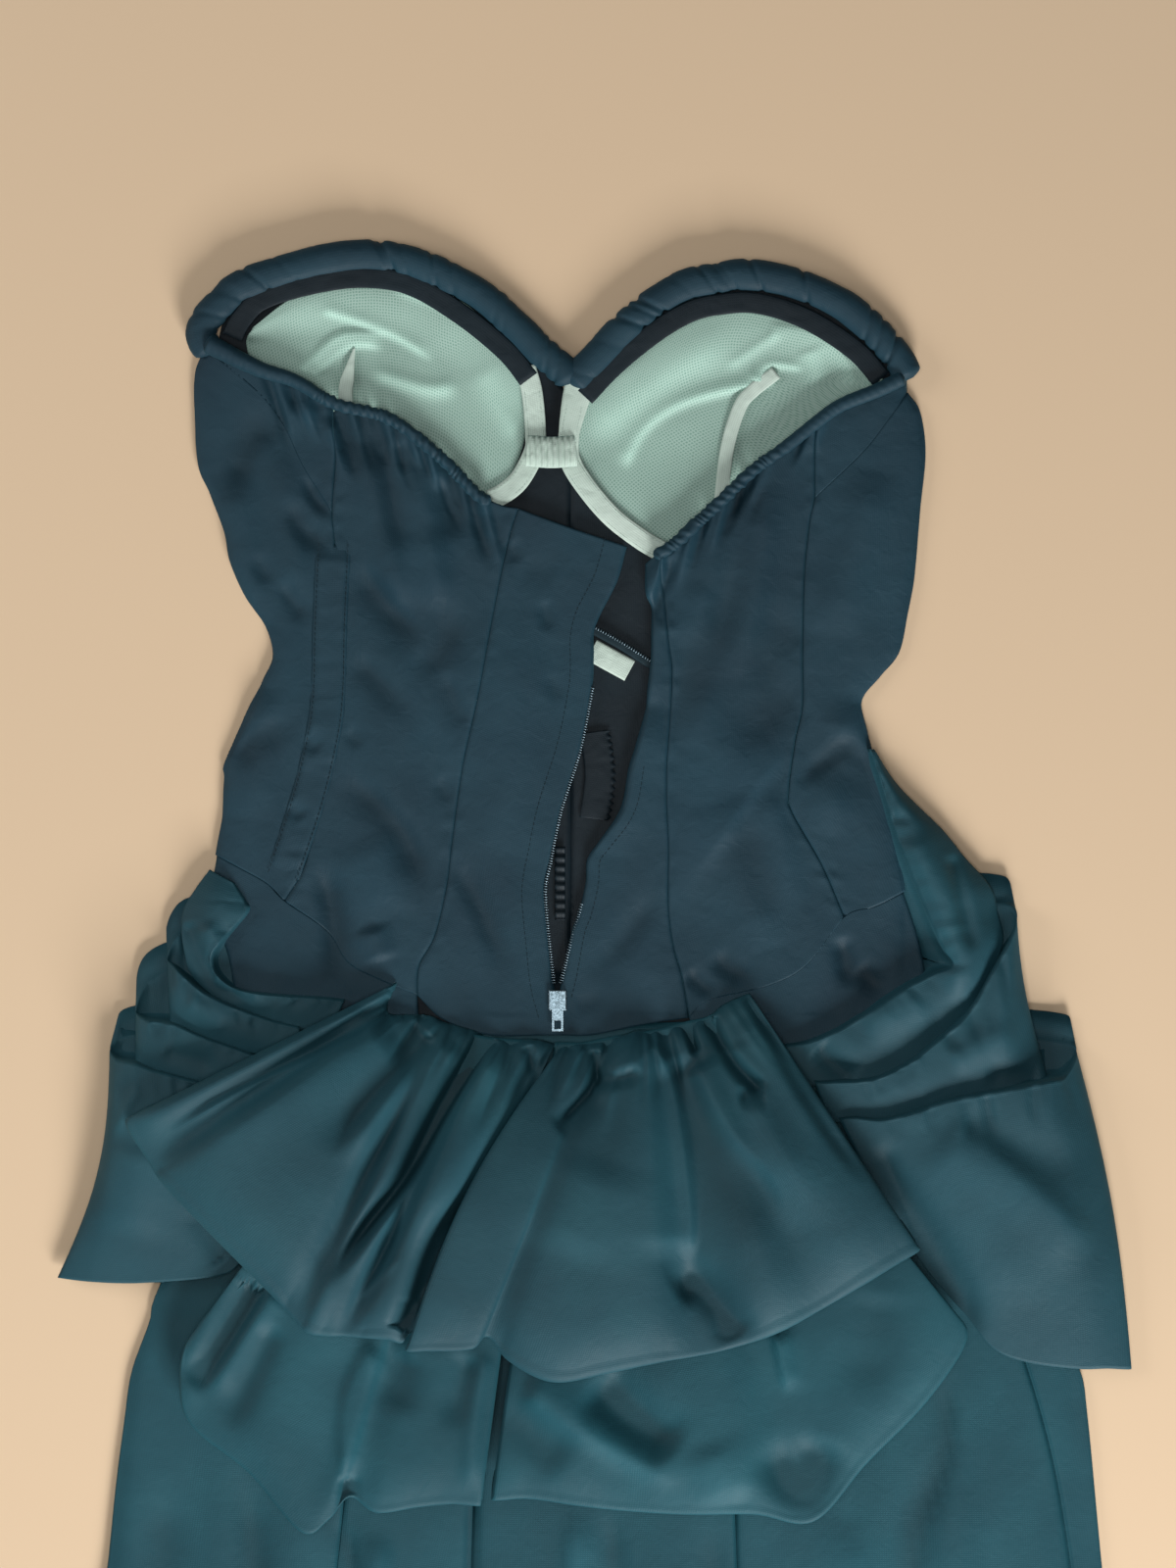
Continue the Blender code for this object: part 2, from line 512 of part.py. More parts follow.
def build_cups():
    """Net cups, facings, underwire channels, bridge and boning tapes."""
    steps = 8
    columns = 9

    def bowl(flat):
        v = np.linspace(0, 1, flat.shape[0])[:, None]
        fall = np.clip((v - 0.1) / 0.3, 0, 1)
        rim = 3.8 * (1 - fall * fall * (3 - 2 * fall))
        return np.dstack([flat, 1.8 + rim + 0 * flat[..., 0]])

    left = patch(smooth_path([(-192, 602), (-196, 592), (-190, 570)], steps),
                 smooth_path([(-39, 583), (-36, 565), (-36, 540), (-44, 518), (-60, 494)], steps),
                 smooth_path([(-192, 602), (-168, 620), (-139, 630), (-111, 630), (-86, 622),
                              (-66, 612), (-39, 583)], columns),
                 smooth_path([(-190, 570), (-150, 552), (-118, 540), (-85, 515), (-60, 494)], columns))
    cloth("net_cup_left", bowl(left), NET_GREEN, NET)
    right = patch(smooth_path([(0, 569), (-6, 556), (-9, 539), (2, 509), (28, 483), (52, 464)],
                              steps),
                  smooth_path([(170, 571), (168, 562), (165, 552)], steps),
                  smooth_path([(0, 569), (16, 584), (44, 599), (69, 611), (91, 615), (119, 609),
                               (142, 601), (170, 571)], columns),
                  smooth_path([(52, 464), (75, 490), (100, 512), (130, 535), (165, 552)], columns))
    cloth("net_cup_right", bowl(right), NET_GREEN, NET)
    band("facing_left", [(-199, 606), (-188, 617), (-165, 625), (-137, 630), (-113, 629),
                         (-95, 623), (-74, 610), (-57, 595)], 9, 3.3, 12, TEAL_DARK)
    band("facing_right", [(12, 577), (28, 591), (46, 604), (62, 612), (77, 615), (92, 616),
                          (108, 613), (124, 607), (140, 597), (154, 584)], 9, 3.3, 12, TEAL_DARK)
    band("wire_channel_left", [(-36, 579), (-32, 564), (-30, 540), (-31, 530), (-39, 515),
                               (-50, 505), (-62, 497)],
         12, [7.3, 7.0, 4.6, 3.6, 3.2, 3.2, 3.2], 10, IVORY)
    band("wire_channel_right", [(-4, 571), (-8, 556), (-11, 539), (-10, 525), (0, 509),
                                (14, 493), (31, 479), (48, 467)],
         12, [7.3, 7.3, 6.6, 5.0, 3.6, 3.2, 3.2, 3.2], 12, IVORY)
    band("centre_bridge", [(-35, 531), (-7, 531)], 19, 8.4, 4, IVORY, 2.4)
    band("boning_tape_left", [(-134, 590), (-138, 574), (-139, 556), (-139, 549)],
         8, 3.4, 5, IVORY, 1.0)
    band("boning_tape_right", [(108, 576), (94, 565), (87, 556), (80, 533), (76, 500)],
         8, 3.4, 8, IVORY, 1.0)


def build_top_edge():
    """Padded roll along the bust and the gathered casings of the back."""
    lift = ROLL_RADIUS + 0.1
    tube("top_roll_left", ROLL_LEFT, ROLL_RADIUS, lift, 18, TEAL)
    tube("top_roll_right", ROLL_RIGHT, ROLL_RADIUS, lift, 16, TEAL)
    above_back = BACK_LIFT + CLOTH + CASING_RADIUS + 1.9
    tube("elastic_casing_left", CASING_LEFT, CASING_RADIUS, above_back, 14, TEAL)
    tube("elastic_casing_right", CASING_RIGHT, CASING_RADIUS, above_back, 13, TEAL)


def build_back():
    """Back bodice panels, left to right, with every shared seam read once."""
    box_top = smooth_path(BOX_SEAM_TOP, 3)
    box_seam = smooth_path(BOX_SEAM, 9)
    princess_left = smooth_path(PRINCESS_LEFT, 12)
    underarm_left = smooth_path(UNDERARM_LEFT, 6)
    basque_side_left = smooth_path(BASQUE_SIDE_LEFT, 6)
    basque_middle_left = smooth_path(BASQUE_MIDDLE_LEFT, 8)
    top_left = smooth_path([(-219, 590), (-190, 576), (-168, 568), (-146, 546)], 6)
    panel("back_underarm_left", smooth_path([(-219, 590), (-219, 590)], 3), box_top,
          top_left, underarm_left, back_height)
    panel("back_side_left", smooth_path(LEFT_SIDE, 9), box_seam, underarm_left,
          basque_side_left, back_height)
    panel("back_middle_left", join(box_top, box_seam), princess_left,
          smooth_path([(-146, 546), (-119, 548), (-102, 538), (-81, 520), (-66, 504),
                       (-40, 498)], 8), basque_middle_left, back_height)
    panel("back_centre_left", princess_left, smooth_path(OPENING_LEFT, 12),
          smooth_path([(-40, 498), (-10, 487), (20, 477)], 6),
          smooth_path([(-98, 219), (-83, 205), (-57, 196), (-18, 196)], 6), back_height)

    side_top = smooth_path(SIDE_SEAM_TOP, 2)
    side_seam = smooth_path(SIDE_SEAM, 10)
    princess_right = smooth_path(PRINCESS_RIGHT, 12)
    underarm_right = smooth_path(UNDERARM_RIGHT, 6)
    basque_middle_right = smooth_path(BASQUE_MIDDLE_RIGHT, 7)
    basque_side_right = smooth_path(BASQUE_SIDE_RIGHT, 6)
    panel("back_centre_right", smooth_path(OPENING_RIGHT, 12), princess_right,
          smooth_path([(35, 468), (42, 474)], 4),
          smooth_path([(-17, 196), (2, 196), (32, 202), (58, 206)], 4), back_height)
    panel("back_middle_right", princess_right, join(side_top, side_seam),
          smooth_path([(42, 474), (52, 481), (66, 491), (80, 504), (97, 520), (114, 532), (130, 543)],
                      7),
          basque_middle_right, back_height)
    panel("back_side_right", side_seam, smooth_path(RIGHT_SIDE, 10), underarm_right,
          basque_side_right, back_height)
    panel("back_underarm_right", side_top, smooth_path([(183, 572), (183, 564)], 2),
          smooth_path([(130, 543), (146, 556), (168, 565), (183, 572)], 6), underarm_right,
          back_height)

    panel("yoke_left", smooth_path([(-213, 299), (-216, 270), (-205, 235), (-200, 184)], 3),
          smooth_path([(-98, 219), (-97, 205)], 3), join(basque_side_left, basque_middle_left),
          smooth_path([(-200, 184), (-150, 190), (-97, 205)], 14), back_height)
    panel("yoke_right", smooth_path([(58, 206), (60, 198)], 3),
          smooth_path([(181, 278), (192, 240), (198, 184)], 3),
          join(basque_middle_right, basque_side_right),
          smooth_path([(60, 198), (120, 190), (198, 184)], 13), back_height)
    band("boning_channel_left", [(-146, 477), (-148, 433), (-149, 393), (-152, 368), (-161, 330),
                                 (-175, 288)],
         20, BACK_LIFT + CLOTH + 2.4, 8, TEAL)


def build_skirt():
    """Five panels of the back skirt, their tops tucked under the bodice."""
    steps = 10
    east_seams = {
        "skirt_back_1": [(-130, 190), (-140, -70), (-205, HEM_Y)],
        "skirt_back_2": [(-62, 200), (-66, -70), (-82, HEM_Y)],
        "skirt_back_3": [(70, 204), (84, -70), (100, HEM_Y)],
        "skirt_back_4": [(180, 190), (251, 8), (277, -108), (318, HEM_Y)],
        "skirt_back_5": SKIRT_RIGHT,
    }
    west = smooth_path(SKIRT_LEFT, steps)
    for name, seam in east_seams.items():
        east = smooth_path(seam, steps)
        north = smooth_path([west[0], east[0]], 5)
        south = smooth_path([west[-1], east[-1]], 5)
        panel(name, west, east, north, south, skirt_height, TEAL_GREEN)
        west = east


def build_drapes():
    """Side swags, wings and the two tiers of the bustle."""
    short = (0.0, 0.35, 0.7, 1.0)
    long = (0.0, 0.1, 0.25, 0.45, 0.7, 1.0)
    drape("swag_left_1", SWAG_LEFT_1, short, TEAL)
    drape("swag_left_2", SWAG_LEFT_2, short, TEAL)
    drape("swag_left_3", SWAG_LEFT_3, short, TEAL)
    drape("wing_left", WING_LEFT, long, TEAL)
    drape("swag_right_1", SWAG_RIGHT_1, short, TEAL)
    drape("swag_right_2", SWAG_RIGHT_2, short, TEAL)
    drape("wing_right", WING_RIGHT, long, TEAL)
    drape("bustle_lower_left", BUSTLE_LOWER_LEFT, long, TEAL_GREEN)
    drape("bustle_lower_right", BUSTLE_LOWER_RIGHT, long, TEAL_GREEN)
    drape("bustle_upper_left", BUSTLE_UPPER_LEFT, long, TEAL)
    drape("bustle_upper_right", BUSTLE_UPPER_RIGHT, long, TEAL)


def build_inside():
    """What shows through the open zip."""
    band("inner_zip", [(2, 429), (20, 419), (37, 408)], 5, 3.2, 4, TEAL_DARK, 1.0)
    band("elastic_tab", [(2, 417), (24, 405)], 13, 1.6, 4, IVORY, 1.2)
    band("seam_flap", [(3, 370), (6, 345), (3, 320)], 16, 1.6, 4, TEAL_DARK, 1.2)
    band("ruched_strip", [(-16, 304), (-16, 262)], 6, 1.6, 6, TEAL_DARK, 1.2)


def build_zip():
    """Two tapes with their tooth rows, the slider and its pull tab."""
    down_left = [(0, 395), (-7, 360), (-18, 325), (-24, 296), (-27, 278), (-24, 243), (-22, 226)]
    down_right = [(-1, 271), (-4, 260), (-8, 246), (-13, 226)]
    band("zip_tape_left", [(x - 1.5, y) for x, y in down_left], 6, 3.6, 9, TEAL_DARK, 1.0)
    band("zip_tape_right", [(x + 1.5, y) for x, y in down_right], 5, 3.6, 5, TEAL_DARK, 1.0)
    band("zip_teeth_left", [(x + 2.6, y) for x, y in down_left], 2.2, 4.9, 9, STEEL, 1.2)
    band("zip_teeth_right", [(x - 2.6, y) for x, y in down_right], 2.2, 4.9, 5, STEEL, 1.2)

    x, y, z = SLIDER
    width, length, thick = SLIDER_SIZE
    top = z + thick
    slider = box("zip_slider", SLIDER_SIZE, (x, y, z + thick / 2))
    parts.objects.link(slider)
    edge = slider.modifiers.new("edge", "BEVEL")
    edge.width = 0.8 * MM
    edge.segments = 2
    span = BAIL["front"] - BAIL["back"]
    middle = (BAIL["front"] + BAIL["back"]) / 2
    height = BAIL["gap"] + BAIL["bar"]
    arch = box("bail", (BAIL["width"], span, height + 1.0), (x, y + middle, top + height / 2 - 0.5))
    eye = box("bail_gap", (BAIL["width"] + 2, span - 2 * BAIL["leg"], BAIL["gap"]),
              (x, y + middle, top + BAIL["gap"] / 2))
    add_boolean(slider, arch, "UNION")
    add_boolean(slider, eye, "DIFFERENCE")
    finish(slider, "zip_slider", STEEL, 0.35, 1.0)

    pivot = (x, y + 0.8, top + 1.0)
    hinge = bpy.data.objects.new("pull_tab_pivot", None)
    hinge.location = [place * MM for place in pivot]
    parts.objects.link(hinge)
    tab = box("pull_tab", (TAB["width"], TAB["length"], TAB["thick"]),
              (0, 0.6 - TAB["length"] / 2, 0))
    parts.objects.link(tab)
    tab.parent = hinge
    eye = box("tab_eye", (TAB["eye_width"], TAB["eye_length"], 4),
              (0, -0.6 - TAB["eye_length"] / 2, 0))
    end = box("tab_end", (TAB["width"] - 2.4, TAB["end_hole"], 4),
              (0, 0.6 - TAB["length"] + 1.2 + TAB["end_hole"] / 2, 0))
    for tool in (eye, end):
        tool.parent = hinge
        add_boolean(tab, tool, "DIFFERENCE")
    finish(tab, "pull_tab", STEEL, 0.35, 1.0)


clear_scene()
parts = collection("bustle_dress")
cutters = collection("cutters")
build_front()
build_cups()
build_top_edge()
build_back()
build_skirt()
build_drapes()
build_inside()
build_zip()
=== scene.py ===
import math
import bmesh
import bpy
import numpy as np
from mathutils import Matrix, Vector


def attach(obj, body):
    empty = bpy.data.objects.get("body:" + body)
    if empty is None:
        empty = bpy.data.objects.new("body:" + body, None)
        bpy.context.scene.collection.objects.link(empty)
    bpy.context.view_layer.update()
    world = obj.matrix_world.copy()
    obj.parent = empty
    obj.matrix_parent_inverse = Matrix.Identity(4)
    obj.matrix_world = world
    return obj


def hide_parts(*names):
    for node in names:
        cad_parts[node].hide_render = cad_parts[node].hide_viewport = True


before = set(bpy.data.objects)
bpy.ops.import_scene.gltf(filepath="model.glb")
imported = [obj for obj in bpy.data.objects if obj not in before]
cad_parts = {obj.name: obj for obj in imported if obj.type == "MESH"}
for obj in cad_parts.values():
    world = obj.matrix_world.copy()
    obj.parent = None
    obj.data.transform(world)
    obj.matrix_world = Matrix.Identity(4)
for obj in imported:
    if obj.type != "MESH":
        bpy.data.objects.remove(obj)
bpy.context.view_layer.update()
mm = 0.001
print("frame loaded,", len(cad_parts), "nodes")

# cut lines of the bodice, top to bottom, in millimetres, as the frame has them
cut = {
    "leftSide": [(-219, 590), (-225, 575), (-225, 549), (-223, 522), (-216, 506), (-207, 483),
                 (-204, 467), (-195, 446), (-184, 429), (-180, 412), (-187, 396), (-207, 354),
                 (-208, 343), (-209, 321), (-213, 299)],
    "rightSide": [(183, 564), (190, 553), (193, 530), (190, 497), (187, 460), (183, 438),
                  (178, 415), (167, 401), (156, 386), (160, 366), (168, 340), (176, 307),
                  (181, 278)],
    "skirtLeft": [(-196, 186), (-212, 120), (-246, 50), (-251, 31), (-261, 3), (-265, -25),
                  (-270, -66), (-274, -108), (-281, -150), (-297, -250),
                  (-325, -420), (-362, -650)],
    "skirtRight": [(196, 186), (222, 110), (262, 40), (281, 5), (286, -24), (294, -108),
                   (299, -150), (312, -250), (333, -420), (362, -650)],
    "boxTop": [(-146, 558), (-146, 546), (-145, 526), (-147, 496)],
    "box": [(-147, 496), (-145, 470), (-147, 430), (-149, 395), (-151, 348), (-156, 329),
            (-163, 293), (-174, 273)],
    "princessLeft": [(-40, 498), (-44, 486), (-50, 460), (-57, 424), (-63, 391), (-72, 350),
                     (-78, 307), (-81, 282), (-88, 253), (-97, 236), (-98, 219)],
    "openingLeft": [(20, 477), (14, 456), (2, 431), (1, 415), (0, 395), (-7, 360), (-18, 325),
                    (-24, 296), (-27, 278), (-24, 243), (-22, 225), (-18, 210), (-18, 196)],
    "openingRight": [(35, 468), (36, 456), (38, 442), (39, 422), (38, 403), (35, 382), (31, 363),
                     (27, 350), (24, 332), (19, 320), (9, 307), (2, 297), (1, 283), (-3, 266),
                     (-7, 255), (-11, 233), (-14, 220), (-17, 196)],
    "princessRight": [(42, 474), (42, 458), (44, 442), (46, 422), (48, 405), (47, 378), (45, 351),
                      (45, 326), (46, 305), (46, 270), (49, 247), (54, 229), (58, 206)],
    "sideTop": [(131, 548), (130, 536), (130, 522), (130, 504)],
    "side": [(130, 504), (127, 490), (124, 460), (123, 415), (123, 385), (119, 366),
             (115, 336), (117, 324), (134, 294), (147, 264)],
    "underarmLeft": [(-219, 590), (-189, 565), (-175, 547), (-163, 522), (-147, 496)],
    "underarmRight": [(130, 504), (158, 531), (172, 549), (183, 564)],
    "basqueSideLeft": [(-213, 299), (-198, 291), (-184, 283), (-174, 273)],
    "basqueMiddleLeft": [(-174, 273), (-150, 256), (-138, 238), (-120, 228), (-98, 219)],
    "basqueMiddleRight": [(58, 206), (69, 216), (102, 224), (125, 236), (147, 264)],
    "basqueSideRight": [(147, 264), (165, 270), (181, 278)],
    "rollLeft": [(-216, 587), (-222, 596), (-219, 606), (-213, 613), (-203, 623), (-186, 631),
                 (-162, 638), (-136, 643),
                 (-112, 642), (-90, 635), (-64, 622), (-45, 606), (-29, 590), (-14, 577), (-9, 570)],
    "rollRight": [(-10, 569), (-3, 577), (7, 587), (22, 603), (38, 616), (56, 626), (74, 630), (92, 632),
                  (112, 629), (132, 622), (150, 612), (165, 599), (178, 584), (184, 572)],
    "casingLeft": [(-219, 593), (-189, 578), (-168, 571), (-145, 558), (-118, 551), (-101, 541),
                   (-80, 523), (-65, 507), (-56, 501)],
    "casingRight": [(181, 573), (167, 566), (145, 557), (132, 548), (113, 533), (96, 521),
                    (79, 505), (65, 492), (50, 478), (38, 470)],
}

# largest folds of the back and the skirt: x1 y1 x2 y2 width height
backFolds = [
    (-205, 520, -192, 430, 12, 3.0), (-186, 395, -192, 320, 12, 2.4), (-176, 530, -165, 440, 9, 2.6),
    (-126, 536, -108, 440, 9, 3.2), (-98, 520, -84, 440, 8, 2.6), (-118, 420, -112, 300, 18, 2.4),
    (-40, 440, -52, 300, 18, 2.4), (-125, 258, -118, 238, 9, 3.0), (40, 440, 36, 385, 12, 2.8),
    (36, 385, 12, 300, 12, 3.0), (74, 488, 60, 360, 10, 3.0), (104, 512, 86, 400, 11, 3.6),
    (165, 520, 140, 425, 14, 3.4), (150, 390, 135, 310, 12, 2.6), (78, 330, 104, 245, 14, 3.0),
]
skirtFolds = [
    (-244, 10, -318, -640, 20, 3.6), (-205, -30, -262, -640, 16, 3.0), (-168, -60, -196, -640, 13, 3.4),
    (-118, -60, -128, -640, 14, 3.6), (-40, -60, -22, -640, 20, 3.4), (36, -60, 58, -640, 16, 3.2),
    (118, -50, 148, -640, 20, 3.4), (206, 10, 236, -640, 13, 3.8), (252, -20, 300, -640, 14, 2.6),
]

# creases: line, height, width on its left, width on its right, fade in, fade out
bodiceCreases = [
    ([(-134, 468), (-115, 443), (-93, 419)], -3.8, 3.2, 6, .15, .15),
    ([(-104, 413), (-88, 412), (-73, 445)], -2.6, 5, 5, .2, .4),
    ([(-122, 553), (-114, 512), (-107, 464)], -3.4, 3, 5, .05, .3),
    ([(-107, 538), (-104, 518)], -2.2, 3, 4, .05, .4),
    ([(-83, 518), (-73, 479)], -3.2, 3, 5, .05, .3),
    ([(-61, 502), (-50, 469)], -2.2, 4, 6, .05, .4),
    ([(-45, 480), (-41, 466)], -1.6, 3, 3, .1, .3),
    ([(-135, 416), (-110, 388), (-100, 380)], -3.0, 4, 6, .1, .5),
    ([(-138, 372), (-130, 360)], -1.6, 3, 3, .2, .5),
    ([(-146, 346), (-120, 328), (-101, 301), (-95, 268)], -4.2, 4, 6, .1, .3),
    ([(-84, 406), (-69, 369)], -2.2, 3, 5, .3, .1),
    ([(-87, 344), (-77, 329)], -1.5, 3, 3, .3, .3),
    ([(-78, 300), (-61, 268), (-44, 228)], -3.2, 5, 4, .1, .2),
    ([(-155, 298), (-146, 262), (-147, 222)], -4.4, 5, 4, .3, .0),
    ([(-192, 472), (-182, 454)], -2.0, 3, 3, .3, .3),
    ([(-177, 456), (-160, 433)], -2.4, 4, 3, .3, .1),
    ([(-207, 353), (-181, 371), (-165, 369)], -2.4, 4, 6, .1, .2),
    ([(-163, 367), (-153, 359)], -1.6, 3, 3, .2, .2),
    ([(-172, 329), (-163, 319)], -1.6, 3, 3, .2, .2),
    ([(-25, 447), (-23, 426)], -1.6, 2.5, 2.5, .3, .3),
    ([(-22, 403), (-14, 388)], -1.2, 3, 3, .3, .3),
    ([(-38, 468), (-17, 459)], -1.2, 6, 6, .3, .3),
    ([(-169, 542), (-192, 540), (-204, 508), (-206, 494)], -3.6, 4, 7, .1, .3),
    ([(-173, 554), (-161, 554), (-155, 561)], 2.4, 4, 4, .2, .2),
    ([(-155, 563), (-145, 544)], -3.2, 3, 3, .1, .1),
    ([(-163, 517), (-155, 502), (-145, 494)], -3.0, 2.6, 2.6, .1, .1),
    ([(-170, 505), (-165, 487), (-146, 475)], -3.4, 4, 4, .2, .1),
    ([(-97, 489), (-96, 434)], 2.8, 12, 12, .3, .3),
    ([(-130, 311), (-110, 262)], 2.6, 10, 12, .3, .3),
    ([(-58, 426), (-73, 328)], 1.4, 24, 20, .3, .3),
    ([(80, 475), (80, 452), (58, 384), (49, 355)], -2.8, 6, 9, .05, .3),
    ([(67, 458), (53, 415)], 2.0, 5, 6, .1, .3),
    ([(123, 439), (87, 396)], -2.2, 7, 9, .1, .4),
    ([(125, 403), (80, 355)], -2.0, 6, 10, .2, .3),
    ([(120, 367), (98, 344), (70, 303), (46, 272)], 3.2, 4, 24, .15, .2),
    ([(99, 344), (108, 310), (120, 255)], 3.2, 6, 7, .2, .3),
    ([(87, 327), (94, 303), (115, 252)], -2.4, 12, 9, .2, .3),
    ([(158, 370), (128, 348), (116, 336)], -2.4, 3, 3, .05, .2),
    ([(158, 366), (139, 329)], -3.2, 12, 12, .1, .5),
    ([(43, 281), (15, 245), (0, 226)], -1.9, 4, 4, .2, .3),
    ([(-9, 212), (12, 219)], -1.2, 3, 3, .2, .2),
    ([(70, 243), (80, 235), (98, 226)], -3.4, 4, 4, .3, .05),
    ([(55, 233), (74, 218)], -3.0, 3, 3, .1, .1),
    ([(145, 254), (150, 222)], -4.0, 3.4, 3.4, .05, .3),
    ([(154, 237), (171, 218)], -3.4, 4, 4, .2, .1),
]

